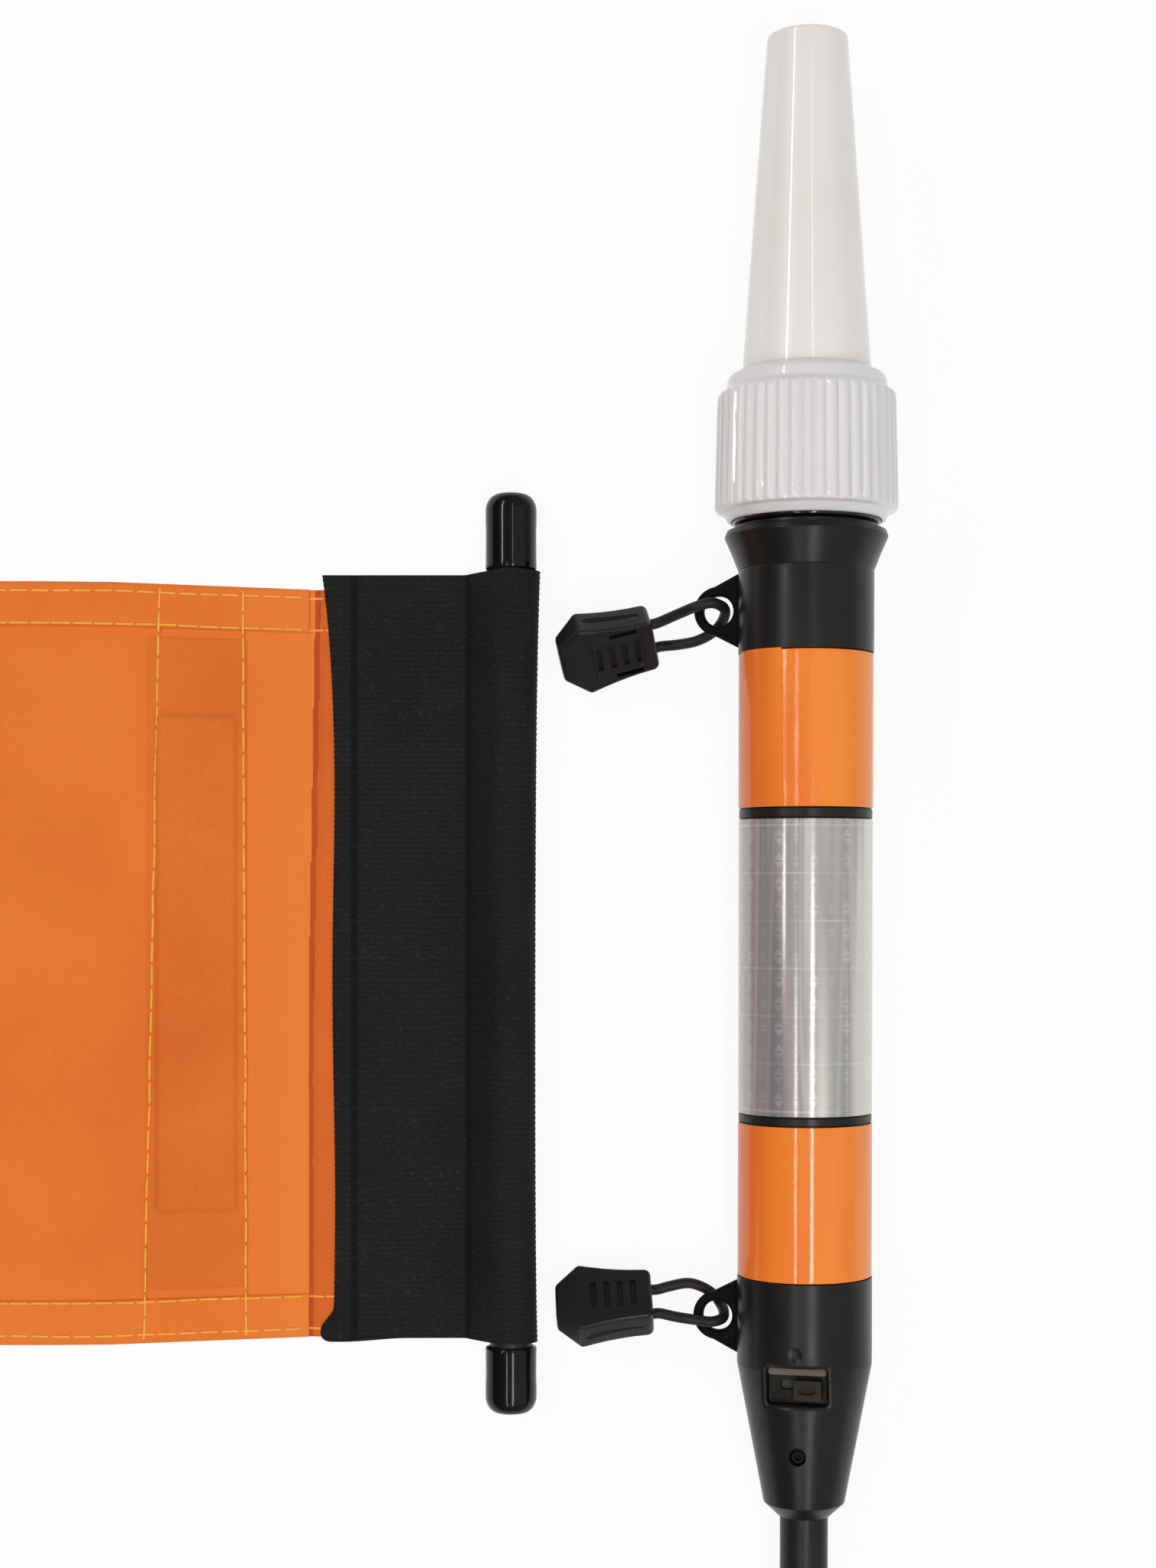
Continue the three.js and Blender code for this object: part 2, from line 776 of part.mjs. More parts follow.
function gripBody() {
  const half = gripThickness / 2;
  const body = new THREE.ExtrudeGeometry(gripOutline(gripBevel), {
    depth: gripThickness - 2 * gripBevel,
    bevelEnabled: true,
    bevelSize: gripBevel,
    bevelThickness: gripBevel,
    bevelSegments: 2,
    curveSegments: 4,
  }).translate(0, 0, gripBevel - half);
  const pocket = block(
    insertLength + 2 * clearance, insertWidth + 2 * notchWidth, 2 * (insertThickness + clearance),
    insertCentre, 0, half,
  );
  const cordHoles = [-1, 1].map((side) => {
    const bore = new THREE.CylinderGeometry(
      cordRadius + clearance, cordRadius + clearance, cordSeatDepth + overrun, smallSides,
    );
    return bore.rotateZ(Math.PI / 2).translate((overrun - cordSeatDepth) / 2, (side * cordSpacing) / 2, 0);
  });
  const sideGrooves = [-1, 1].map((side) => {
    const groove = block(sideGrooveLength, 2 * sideGrooveDepth, sideGrooveWidth, 0, 0, 0);
    const flare = Math.atan2((gripWideWidth - gripNarrowWidth) / 2, gripShoulder);
    const middle = (gripWideWidth + gripNarrowWidth) / 4;
    return groove.rotateZ(-side * flare).translate(-gripShoulder / 2, side * middle, 0);
  });
  return cut(body, pocket, ...cordHoles, ...sideGrooves, ...gripGrooveCutters(-half, insertWidth));
}

function gripInsert() {
  const top = gripThickness / 2;
  const pad = block(insertLength, insertWidth, insertThickness, insertCentre, 0, top - insertThickness / 2);
  return cut(pad, ...gripGrooveCutters(top, insertWidth + overrun));
}

// A cord starts in one seat of its grip, runs through the ear, and ends in the other seat.
function cordLoop(route, hole, grip) {
  const seat = (x, side) => grip.localToWorld(new THREE.Vector3(x, (side * cordSpacing) / 2, 0));
  const free = route.map(([x, y, z]) => new THREE.Vector3(hole.x + x, hole.y + y, hole.z + z));
  const start = [-cordSeatEnd, 0, cordLeadOut].map((x) => seat(x, 1));
  const end = [cordLeadOut, 0, -cordSeatEnd].map((x) => seat(x, -1));
  return new THREE.ExtrudeGeometry(roundSection(cordRadius, cordSides), {
    steps: cordSteps,
    extrudePath: new THREE.CatmullRomCurve3([...start, ...free, ...end]),
    bevelEnabled: false,
  });
}

function addPull(group, name, grip, route, hole) {
  const place = new THREE.Group();
  place.position.set(grip.x, grip.y, gripRestHeight);
  place.rotation.z = grip.turn;
  const rolled = new THREE.Group();
  rolled.rotation.x = grip.roll;
  place.add(rolled);
  group.add(place);
  group.updateMatrixWorld(true);
  addPiece(rolled, `${name}_grip`, gripBody(), finishes.blackPlastic);
  addPiece(rolled, `${name}_grip_insert`, gripInsert(), finishes.blackPlastic);
  addPiece(group, `${name}_cord`, cordLoop(route, hole, rolled), finishes.blackRubber);
}

// The panel's outline draws in a little towards the sleeves; its hems are twice as thick.
function bannerPanel() {
  const halfWidth = panelWidth / 2;
  const halfMiddle = panelMiddleHeight / 2;
  const halfEnd = panelEndHeight / 2;
  const shape = outline([
    [halfWidth, -halfEnd],
    [halfWidth, halfEnd],
    [halfWidth - panelEndLength, halfMiddle],
    [panelEndLength - halfWidth, halfMiddle],
    [-halfWidth, halfEnd],
    [-halfWidth, -halfEnd],
    [panelEndLength - halfWidth, -halfMiddle],
    [halfWidth - panelEndLength, -halfMiddle],
  ]);
  const hemmed = plate(shape, hemThickness);
  const field = block(
    panelWidth + overrun, panelMiddleHeight - 2 * hemWidth, 2 * (hemThickness - clothThickness),
    0, 0, hemThickness,
  );
  return cut(hemmed, field);
}

// The pocket strip is sewn flat along both sides and rises over its stiffener.
function pocketStrip() {
  const low = clothThickness + clearance;
  const high = low + pocketRise;
  const half = pocketWidth / 2;
  const shoulder = half - pocketSeam;
  const shape = outline([
    [-half, low],
    [-shoulder, low],
    [-shoulder + pocketSeam / 2, high],
    [shoulder - pocketSeam / 2, high],
    [shoulder, low],
    [half, low],
    [half, low + clothThickness],
    [shoulder, low + clothThickness],
    [shoulder - pocketSeam / 2, high + clothThickness],
    [-shoulder + pocketSeam / 2, high + clothThickness],
    [-shoulder, low + clothThickness],
    [-half, low + clothThickness],
  ]);
  return drawnAlongY(shape, pocketLength);
}

function stiffener() {
  const bottom = clothThickness + clearance;
  return block(stiffenerWidth, stiffenerLength, stiffenerThickness, 0, 0, bottom + stiffenerThickness / 2);
}

// Where a straight cloth layer that starts at a point meets the loop of a given radius round the rod.
function loopAngle(x, z, radius) {
  const drop = capRadius - z;
  return Math.PI + Math.atan2(drop, -x) - Math.acos(radius / Math.hypot(x, drop));
}

// The sleeve's wall, seen from the end: two layers over the tab, then a loop round the rod.
function sleeveSection() {
  const outer = rodRadius + clearance + clothThickness;
  const inner = rodRadius + clearance;
  const left = outer - sleeveWidth + clearance;
  const seam = left + sleeveFlatWidth;
  const slotEnd = tabWidth - creaseToRod + 3 * clearance / 2;
  const shape = new THREE.Shape();
  shape.moveTo(left, 0);
  shape.lineTo(0, 0);
  shape.absarc(0, capRadius, outer, -Math.PI / 4, loopAngle(seam, sleeveThickness, outer), false);
  shape.lineTo(seam, sleeveThickness);
  shape.lineTo(left, sleeveThickness);
  shape.lineTo(left, sleeveThickness - sleeveWall);
  shape.lineTo(slotEnd, sleeveThickness - sleeveWall);
  shape.lineTo(slotEnd, sleeveWall);
  shape.lineTo(left, sleeveWall);
  shape.closePath();
  const seamInside = seam + sleeveThickness;
  const top = loopAngle(seamInside, clothThickness + clearance, inner);
  const pocket = new THREE.Path();
  pocket.moveTo(seamInside, clothThickness + clearance);
  pocket.lineTo(inner * Math.cos(top), capRadius + inner * Math.sin(top));
  pocket.absarc(0, capRadius, inner, top, -Math.PI / 2, true);
  pocket.closePath();
  shape.holes.push(pocket);
  return shape;
}

function endCap(start) {
  const rim = capRadius - capRim;
  return revolve([
    [0, start],
    [rim, start],
    [capRadius, start + capRim],
    [capRadius, start + capLength - capRim / 2],
    [capRadius - capRim / 2, start + capLength],
    [rodRadius + clearance, start + capLength],
    [rodRadius + clearance, start + capLength - capBore],
    [0, start + capLength - capBore],
  ]);
}

// One end of the banner, built towards +X from the banner's middle.
function addBannerEnd(group, name) {
  const rodX = rodSpan / 2;
  const sleeve = drawnAlongY(sleeveSection(), sleeveLength).translate(rodX, sleeveShift, 0);
  addPiece(group, `${name}_sleeve`, sleeve, finishes.blackWeave);
  const tabMiddle = rodX - creaseToRod + (clearance + tabWidth) / 2;
  const tab = block(
    tabWidth, panelEndHeight, clothThickness,
    tabMiddle, 0, sleeveThickness / 2,
  );
  addPiece(group, `${name}_tab`, tab, finishes.orangeCloth);
  const rod = revolve([
    [0, rodBottom],
    [rodRadius, rodBottom],
    [rodRadius, rodTop],
    [0, rodTop],
  ]).translate(rodX, 0, capRadius);
  addPiece(group, `${name}_rod`, rod, finishes.darkMetal);
  const capFloor = capLength - capBore + clearance;
  const lowCap = endCap(rodBottom - capFloor).translate(rodX, 0, capRadius);
  addPiece(group, `${name}_cap_bottom`, lowCap, finishes.glossVinyl);
  const highCap = endCap(-rodTop - capFloor).rotateZ(Math.PI).translate(rodX, 0, capRadius);
  addPiece(group, `${name}_cap_top`, highCap, finishes.glossVinyl);
  const pocketX = rodX - pocketFromRod - pocketWidth / 2;
  addPiece(group, `${name}_pocket`, pocketStrip().translate(pocketX, 0, 0), finishes.orangeCloth);
  addPiece(group, `${name}_stiffener`, stiffener().translate(pocketX, 0, 0), finishes.clearSheet);
}

// The post leans so that the ring's lowest rib and the socket's shoulder both touch the surface.
const lean = Math.atan2(ringLowRadius - collarRadius, ribStart);
const barrier = new THREE.Group();
const post = new THREE.Group();
post.position.set(0, postFootY, collarRadius * Math.cos(lean));
post.rotation.x = lean;
const rolledPost = new THREE.Group();
rolledPost.rotation.y = -featureRoll;
post.add(rolledPost);
barrier.add(post);

addPiece(rolledPost, "post_tube", postTube(), finishes.blackPlastic);
addPiece(rolledPost, "tape_lower", tapeBand(lowerTapeStart, lowerTapeEnd), finishes.orangeTape);
addPiece(rolledPost, "tape_silver", tapeBand(silverStart, silverEnd), finishes.silverTape);
addPiece(rolledPost, "tape_upper", tapeBand(upperTapeStart, upperTapeEnd), finishes.orangeTape);
addPiece(rolledPost, "lower_socket", lowerSocket(), finishes.blackPlastic);
addPiece(rolledPost, "upper_collar", upperCollar(), finishes.blackPlastic);
addPiece(rolledPost, "stake_rod", stakeRod(), finishes.blackPlastic);
addPiece(rolledPost, "rod_screw", rodScrew(), finishes.darkMetal);
addPiece(rolledPost, "switch_plate", switchPlate(), finishes.greyPlastic);
addPiece(rolledPost, "switch_body", switchBody(), finishes.blackPlastic);
addPiece(rolledPost, "switch_knob", switchKnob(), finishes.greyPlastic);
addPiece(rolledPost, "battery_sleeve", batterySleeve(), finishes.greyPlastic);
addPiece(rolledPost, "battery_spring", batterySpring(), finishes.steel);
addPiece(rolledPost, "battery_1", batteryCell(firstCellStart), finishes.cellJacket);
addPiece(rolledPost, "battery_2", batteryCell(firstCellStart + cellPitch), finishes.cellJacket);
addPiece(rolledPost, "contact_pin", contactPin(), finishes.steel);
addPiece(rolledPost, "lamp_head", lampHead(), finishes.blackPlastic);
addPiece(rolledPost, "head_oring", headOring(), finishes.blackRubber);
addPiece(rolledPost, "led_board", ledBoard(), finishes.boardGreen);
addPiece(rolledPost, "led_emitter", ledEmitter(), finishes.emitterYellow);
addPiece(rolledPost, "reflector", reflectorCup(), finishes.steel);
addPiece(rolledPost, "lamp_ring", lampRing(), finishes.whiteDiffuser);
addPiece(rolledPost, "lamp_cone", lampCone(), finishes.warmDiffuser);

// Each cord loop runs through the hole of its own ear.
barrier.updateMatrixWorld(true);
const upperHole = rolledPost.localToWorld(new THREE.Vector3(-earReach, upperEarStation, 0));
const lowerHole = rolledPost.localToWorld(new THREE.Vector3(-earReach, lowerEarStation, 0));
addPull(barrier, "upper", upperGrip, upperCordRoute, upperHole);
addPull(barrier, "lower", lowerGrip, lowerCordRoute, lowerHole);

const banner = new THREE.Group();
banner.position.x = -rodToPost - rodSpan / 2;
addPiece(banner, "banner_panel", bannerPanel(), finishes.orangeCloth);
const nearEnd = new THREE.Group();
const farEnd = new THREE.Group();
farEnd.rotation.z = Math.PI;
addBannerEnd(nearEnd, "near");
addBannerEnd(farEnd, "far");
banner.add(nearEnd, farEnd);
barrier.add(banner);

// The origin is under the middle of the whole object.
const bounds = new THREE.Box3().setFromObject(barrier, true);
const middle = bounds.getCenter(new THREE.Vector3());
barrier.position.set(-middle.x, -middle.y, -bounds.min.z);

const group = new THREE.Group();
group.add(barrier);
export default group;
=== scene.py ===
import math

import bpy
from mathutils import Matrix, Vector, noise


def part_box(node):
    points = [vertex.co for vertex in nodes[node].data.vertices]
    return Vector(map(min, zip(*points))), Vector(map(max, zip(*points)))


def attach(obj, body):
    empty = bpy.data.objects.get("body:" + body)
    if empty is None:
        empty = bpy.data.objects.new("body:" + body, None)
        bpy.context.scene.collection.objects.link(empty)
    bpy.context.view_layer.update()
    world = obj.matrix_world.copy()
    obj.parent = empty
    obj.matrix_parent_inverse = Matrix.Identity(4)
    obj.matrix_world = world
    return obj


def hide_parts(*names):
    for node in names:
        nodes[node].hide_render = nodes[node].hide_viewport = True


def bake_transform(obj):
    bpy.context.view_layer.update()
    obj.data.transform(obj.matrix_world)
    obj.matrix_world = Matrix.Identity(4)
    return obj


mm = 0.001
degree = math.pi / 180

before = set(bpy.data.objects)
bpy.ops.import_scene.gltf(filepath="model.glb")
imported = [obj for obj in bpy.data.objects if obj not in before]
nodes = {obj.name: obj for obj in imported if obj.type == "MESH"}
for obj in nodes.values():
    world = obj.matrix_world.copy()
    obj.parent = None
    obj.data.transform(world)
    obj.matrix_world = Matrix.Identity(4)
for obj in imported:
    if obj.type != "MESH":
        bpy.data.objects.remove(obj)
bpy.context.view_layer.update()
print("frame loaded:", len(nodes), "nodes")

# Camera straight above the barrier
view = {"place": (0.2429, 0.01444, 0.84), "lens": 56.25, "sensor": 36, "shiftUp": 0.1143}

bpy.ops.object.select_all(action="DESELECT")
bpy.ops.object.camera_add(location=view["place"], rotation=(0, 0, 0))
camera = bpy.context.object
camera.data.lens = view["lens"]
camera.data.sensor_width = view["sensor"]
camera.data.sensor_fit = "AUTO"
camera.data.shift_y = view["shiftUp"]
bpy.context.scene.camera = camera

# Where the post lies, read from its tapes; its front and its ears are rolled to the left
postLie = {"lowerTapeMiddle": 54.7, "roll": 13, "footY": -132.9}


def middleOf(node):
    low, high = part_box(node)
    return (low + high) / 2


def turnBy(angle, axis):
    return Matrix.Rotation(angle * degree, 4, axis)


def moveBy(x, y, z):
    return Matrix.Translation((x * mm, y * mm, z * mm))


postAxis = (middleOf("tape_upper") - middleOf("tape_lower")).normalized()
shoulder = middleOf("tape_lower") - postAxis * postLie["lowerTapeMiddle"] * mm
postTilt = math.atan2(postAxis.z, postAxis.y) - math.pi / 2
postPlace = Matrix.Translation(shoulder) @ Matrix.Rotation(postTilt, 4, "X") @ turnBy(-postLie["roll"], "Z")
frontPlace = postPlace @ turnBy(90, "X")  # for drawings made flat, to face the post's front
ground = Vector((shoulder.x, shoulder.y - postLie["footY"] * mm, 0))


# Modelling helpers
def clearSelection():
    bpy.ops.object.select_all(action="DESELECT")


def focus(piece):
    clearSelection()
    piece.select_set(True)
    bpy.context.view_layer.objects.active = piece


def startEdit(piece):
    focus(piece)
    bpy.ops.object.mode_set(mode="EDIT")


def endEdit():
    bpy.ops.object.mode_set(mode="OBJECT")


def pickAll():
    bpy.ops.mesh.select_all(action="SELECT")


def raiseBy(height):
    bpy.ops.mesh.extrude_region_move(TRANSFORM_OT_translate={"value": (0, 0, height * mm)})


# Opens a piece for editing with only those points selected that a rule picks by place, in millimetres
def startPicked(piece, rule):
    startEdit(piece)
    bpy.ops.mesh.select_mode(type="VERT")
    bpy.ops.mesh.select_all(action="DESELECT")
    endEdit()
    for vertex in piece.data.vertices:
        vertex.select = rule(*(value / mm for value in vertex.co))
    bpy.ops.object.mode_set(mode="EDIT")


def added(name):
    piece = bpy.context.object
    piece.name = name
    piece.data.name = name
    return piece


# Merges points that lie together and turns the faces outwards
def closeUp(piece, distance=0.002):
    startEdit(piece)
    pickAll()
    bpy.ops.mesh.remove_doubles(threshold=distance * mm)
    bpy.ops.mesh.normals_make_consistent(inside=False)
    endEdit()


def shaped(piece, kind, **settings):
    focus(piece)
    modifier = piece.modifiers.new(kind.lower(), kind)
    for setting, value in settings.items():
        setattr(modifier, setting, value)
    bpy.ops.object.modifier_apply(modifier=modifier.name)
    return piece


def softened(piece, width, segments=2, angle=30):
    return shaped(
        piece, "BEVEL", width=width * mm, segments=segments, limit_method="ANGLE",
        angle_limit=angle * degree, use_clamp_overlap=True,
    )


def combined(piece, other, operation="DIFFERENCE"):
    shaped(piece, "BOOLEAN", operation=operation, object=other, solver="EXACT")
    bpy.data.objects.remove(other)
    return piece


def placed(piece, place):
    bpy.context.view_layer.update()
    piece.matrix_world = place @ piece.matrix_world
    focus(piece)
    bpy.ops.object.transform_apply(location=True, rotation=True, scale=True)
    return piece


def smoothed(piece, angle=32, weighted=False):
    focus(piece)
    bpy.ops.object.shade_smooth_by_angle(angle=angle * degree)
    if weighted:
        shaped(piece, "WEIGHTED_NORMAL", keep_sharp=True, weight=50)
    return piece


def joined(pieces, name):
    clearSelection()
    for piece in pieces:
        piece.select_set(True)
    bpy.context.view_layer.objects.active = pieces[0]
    bpy.ops.object.join()
    return added(name)


# Fixes a piece where it is, so that its object stands at the origin
def settled(piece):
    return placed(piece, Matrix.Identity(4))


# Turns a profile of radius and height pairs round the vertical, ring by ring
def turned(name, profile, sides=96):
    clearSelection()
    radius, height = profile[0]
    closed = profile[0] == profile[-1]
    bpy.ops.mesh.primitive_circle_add(
        vertices=sides, radius=radius * mm, location=(0, 0, height * mm),
        fill_type="NOTHING" if closed else "NGON",
    )
    piece = added(name)
    bpy.ops.object.mode_set(mode="EDIT")
    pickAll()
    for (radius, height), (nextRadius, nextHeight) in zip(profile, profile[1:]):
        raiseBy(nextHeight - height)
        scale = nextRadius / radius
        bpy.ops.transform.resize(value=(scale, scale, 1), center_override=(0, 0, nextHeight * mm))
    endEdit()
    closeUp(settled(piece))
    return piece


# Draws a closed outline from point to point and fills it; the piece stays open for editing
def outlined(name, points):
    clearSelection()
    bpy.ops.mesh.primitive_plane_add(size=mm, location=tuple(value * mm for value in points[0]))
    piece = added(name)
    bpy.ops.object.mode_set(mode="EDIT")
    pickAll()
    bpy.ops.mesh.merge(type="CENTER")
    for point, nextPoint in zip(points, points[1:]):
        step = tuple((after - before) * mm for before, after in zip(point, nextPoint))
        bpy.ops.mesh.extrude_vertices_move(TRANSFORM_OT_translate={"value": step})
    pickAll()
    bpy.ops.mesh.edge_face_add()
    return piece


# Draws an outline flat and gives it a thickness upwards
def drawn(name, points, bottom, top):
    piece = outlined(name, [(x, y, bottom) for x, y in points])
    raiseBy(top - bottom)
    endEdit()
    closeUp(settled(piece))
    return piece


def arc(x, y, radius, start, end, steps):
    points = []
    for i in range(steps + 1):
        angle = (start + (end - start) * i / steps) * degree
        points.append((x + radius * math.cos(angle), y + radius * math.sin(angle)))
    return points


def straight(start, end, steps):
    (x, y), (endX, endY) = start, end
    return [(x + (endX - x) * i / steps, y + (endY - y) * i / steps) for i in range(steps)]


# Corners of the given radius; the longer sides may be split so that they can follow a curved surface
def roundedBox(width, height, radius, steps=4, splits=1):
    x = width / 2 - radius
    y = height / 2 - radius
    top = arc(x, y, radius, 0, 90, steps) + straight((x, y + radius), (-x, y + radius), splits)[1:]
    left = arc(-x, y, radius, 90, 180, steps)
    bottom = arc(-x, -y, radius, 180, 270, steps) + straight((-x, -y - radius), (x, -y - radius), splits)[1:]
    return top + left + bottom + arc(x, -y, radius, 270, 360, steps)


def shifted(points, x, y):
    return [(px + x, py + y) for px, py in points]


# Moves every point of a finished mesh by a rule for its x, y and z in millimetres
def reshaped(piece, rule):
    for vertex in piece.data.vertices:
        x, y, z = (value / mm for value in vertex.co)
        vertex.co = [value * mm for value in rule(x, y, z)]
    piece.data.update()
    return piece


def ease(value, low, high):
    share = min(max((value - low) / (high - low), 0), 1)
    return share * share * (3 - 2 * share)


# Material helpers
def linear(red, green, blue):
    def curve(value):
        value /= 255
        return value / 12.92 if value <= 0.04045 else ((value + 0.055) / 1.055) ** 2.4

    return (curve(red), curve(green), curve(blue), 1)


def addNode(tree, kind, inputs=None, **settings):
    node = tree.nodes.new(kind)
    for setting, value in settings.items():
        setattr(node, setting, value)
    for key, value in (inputs or {}).items():
        if isinstance(value, bpy.types.NodeSocket):
            tree.links.new(value, node.inputs[key])
        else:
            node.inputs[key].default_value = value
    return node


def newMaterial(name, sockets):
    material = bpy.data.materials.new(name)
    material.use_nodes = True
    tree = material.node_tree
    shader = tree.nodes["Principled BSDF"]
    for key, value in sockets.items():
        shader.inputs[key].default_value = value
    place = addNode(tree, "ShaderNodeTexCoord").outputs["Object"]
    return material, tree, shader, place


# Turns a material's coordinates so that Z runs along the post and X across its front
def alongPost(tree, place):
    turn = postPlace.to_euler()
    node = addNode(
        tree, "ShaderNodeMapping",
        {"Vector": place, "Location": postPlace.translation, "Rotation": turn},
        vector_type="TEXTURE",
    )
    return node.outputs["Vector"]


def speckle(tree, place, scale, detail=4, roughness=0.5):
    node = addNode(
        tree, "ShaderNodeTexNoise",
        {"Vector": place, "Scale": scale, "Detail": detail, "Roughness": roughness},
    )
    return node.outputs["Fac"]


def stretched(tree, place, scale):
    return addNode(tree, "ShaderNodeMapping", {"Vector": place, "Scale": scale}).outputs["Vector"]


def blendOf(tree, factor, first, second):
    node = addNode(tree, "ShaderNodeMix", {0: factor, 6: first, 7: second}, data_type="RGBA")
    return node.outputs[2]


def mapped(tree, value, low, high, newLow, newHigh):
    node = addNode(
        tree, "ShaderNodeMapRange",
        {"Value": value, "From Min": low, "From Max": high, "To Min": newLow, "To Max": newHigh},
    )
    return node.outputs["Result"]


def calculated(tree, operation, first, second=0.0):
    return addNode(tree, "ShaderNodeMath", {0: first, 1: second}, operation=operation).outputs[0]


def times(tree, first, second):
    return calculated(tree, "MULTIPLY", first, second)


def plus(tree, first, second):
    return calculated(tree, "ADD", first, second)


def minus(tree, first, second):
    return calculated(tree, "SUBTRACT", first, second)


def absolute(tree, value):
    return calculated(tree, "ABSOLUTE", value)


def bumped(tree, height, strength, distance, under=None):
    inputs = {"Height": height, "Strength": strength, "Distance": distance * mm}
    if under is not None:
        inputs["Normal"] = under
    return addNode(tree, "ShaderNodeBump", inputs).outputs["Normal"]


# A moulded or painted finish: two tones and a worn one, uneven gloss, and a grain (scale, strength, depth)
def mouldedFinish(name, tones, gloss, grain, shine=0.5, sockets=None):
    material, tree, shader, place = newMaterial(name, {"Specular IOR Level": shine, **(sockets or {})})
    cloud = speckle(tree, place, 45, 3)
    worn = mapped(tree, addNode(tree, "ShaderNodeNewGeometry").outputs["Pointiness"], 0.52, 0.6, 0, 0.35)
    mixed = blendOf(tree, mapped(tree, cloud, 0.25, 0.75, 0, 1), linear(*tones[0]), linear(*tones[1]))
    mixed = blendOf(tree, worn, mixed, linear(*tones[2]))
    tree.links.new(mixed, shader.inputs["Base Color"])
    patches = speckle(tree, place, 120, 3)
    tree.links.new(mapped(tree, patches, 0.15, 0.85, gloss[0], gloss[1]), shader.inputs["Roughness"])
    scale, strength, depth = grain
    fine = speckle(tree, place, scale, 3, 0.6)
    tree.links.new(bumped(tree, fine, strength, depth), shader.inputs["Normal"])
    return material


def dressed(piece, material, body=None, hides=()):
    piece.data.materials.clear()
    piece.data.materials.append(material)
    if body:
        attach(piece, body)
    if hides:
        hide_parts(*hides)
    return piece


# Gives a second finish to the faces that a rule picks by place, in millimetres
def partDressed(piece, material, place, rule):
    piece.data.materials.append(material)
    back = place.inverted()
    for face in piece.data.polygons:
        if rule(*(value / mm for value in back @ face.center)):
            face.material_index = len(piece.data.materials) - 1


# The post's two ears are alike, and a pull's cord runs through the hole of each
ear = {
    "root": 18.4, "half": 14.4, "reach": 29.2, "nose": 8.2, "hole": 5, "thickness": 4, "edge": 0.9,
    "startRadius": 22.8, "lower": 14.6, "upper": 250.1,
}

# Cord loops: each leaves one seat of its grip, runs through the ear and goes back into the other seat
cordLoops = {
    "upper": {
        "grip": (-50.2, 110.2, 14.1), "turn": 14, "roll": 45, "station": ear["upper"],
        "route": [
            (-14, -0.8, -1.2), (-7.4, 1.3, 3.5), (-2.6, 2.3, 4.4), (1.1, 1.2, 2.4), (2.1, -0.3, -0.6),
            (1.2, -2.9, -4.2), (-1.6, -6, -6.2), (-7, -8.6, -8.8), (-14, -9.7, -11),
        ],
    },
    "lower": {
        "grip": (-50.5, -114.1, 14.1), "turn": 3.5, "roll": 135, "station": ear["lower"],
        "route": [
            (-14, -0.5, 2.1), (-7.4, -1.4, 2.8), (-2.4, -1.9, 3.4), (1.1, -1.1, 2.1), (2.1, 0.4, -0.6),
            (1.2, 3, -4.2), (-2, 6.8, -5.6), (-9, 9.8, -5.6), (-16, 8.8, -5.6),
        ],
    },
}
cordSize = {"diameter": 3.6, "spacing": 10, "seats": (-6, 0, 2), "steps": 9}


def smoothLine(points, steps):
    ends = [2 * points[0] - points[1], *points, 2 * points[-1] - points[-2]]
    line = []
    for before, start, end, after in zip(ends, ends[1:], ends[2:], ends[3:]):
        spans = ((before, start), (start, end), (end, after))
        first, middle, last = (math.sqrt((b - a).length) for a, b in spans)
        leave = (start - before) / first - (end - before) / (first + middle) + (end - start) / middle
        reach = (end - start) / middle - (after - start) / (middle + last) + (after - end) / last
        leave = leave * middle
        reach = reach * middle
        for i in range(steps):
            t = i / steps
            line.append(
                start + leave * t + (3 * (end - start) - 2 * leave - reach) * t * t
                + (2 * (start - end) + leave + reach) * t ** 3
            )
    return [*line, points[-1]]


def lengthOf(line):
    return sum((b - a).length for a, b in zip(line, line[1:]))


def gripPlace(loop):
    return (
        Matrix.Translation(ground + Vector(loop["grip"]) * mm)
        @ turnBy(loop["turn"], "Z") @ turnBy(loop["roll"], "X")
    )


def cordLine(loop):
    place = gripPlace(loop)
    hole = postPlace @ Vector((-ear["reach"] * mm, 0, loop["station"] * mm))
    side = cordSize["spacing"] / 2 * mm
    leaving = [place @ Vector((x * mm, side, 0)) for x in cordSize["seats"]]
    returning = [place @ Vector((x * mm, -side, 0)) for x in reversed(cordSize["seats"])]
    route = [hole + Vector(point) * mm for point in loop["route"]]
    return smoothLine(leaving + route + returning, cordSize["steps"])


cordFinish = mouldedFinish(
    "black_cord", [(17, 16, 16), (24, 23, 23), (38, 37, 37)], (0.42, 0.58), (1400, 0.35, 0.12), 0.3,
)

for name, loop in cordLoops.items():
    line = cordLine(loop)
    curve = bpy.data.curves.new(name + "_loop", "CURVE")
    curve.dimensions = "3D"
    curve.bevel_depth = cordSize["diameter"] / 2 * mm
    curve.bevel_resolution = 5
    curve.use_fill_caps = True
    spline = curve.splines.new("POLY")
    spline.points.add(len(line) - 1)
    for point, place in zip(spline.points, line):
        point.co = (*place, 1)
    cordPiece = bpy.data.objects.new(name + "_loop", curve)
    bpy.context.scene.collection.objects.link(cordPiece)
    dressed(cordPiece, cordFinish, name + "_pull", [name + "_cord"])
    print("cord", name, round(lengthOf(line) / mm, 1), "mm")

clearSelection()
bpy.ops.mesh.primitive_grid_add(x_subdivisions=8, y_subdivisions=8, size=6, location=(0, 0, 0))
floor = added("floor")
floor.data.materials.append(bpy.data.materials.new("floor_white"))

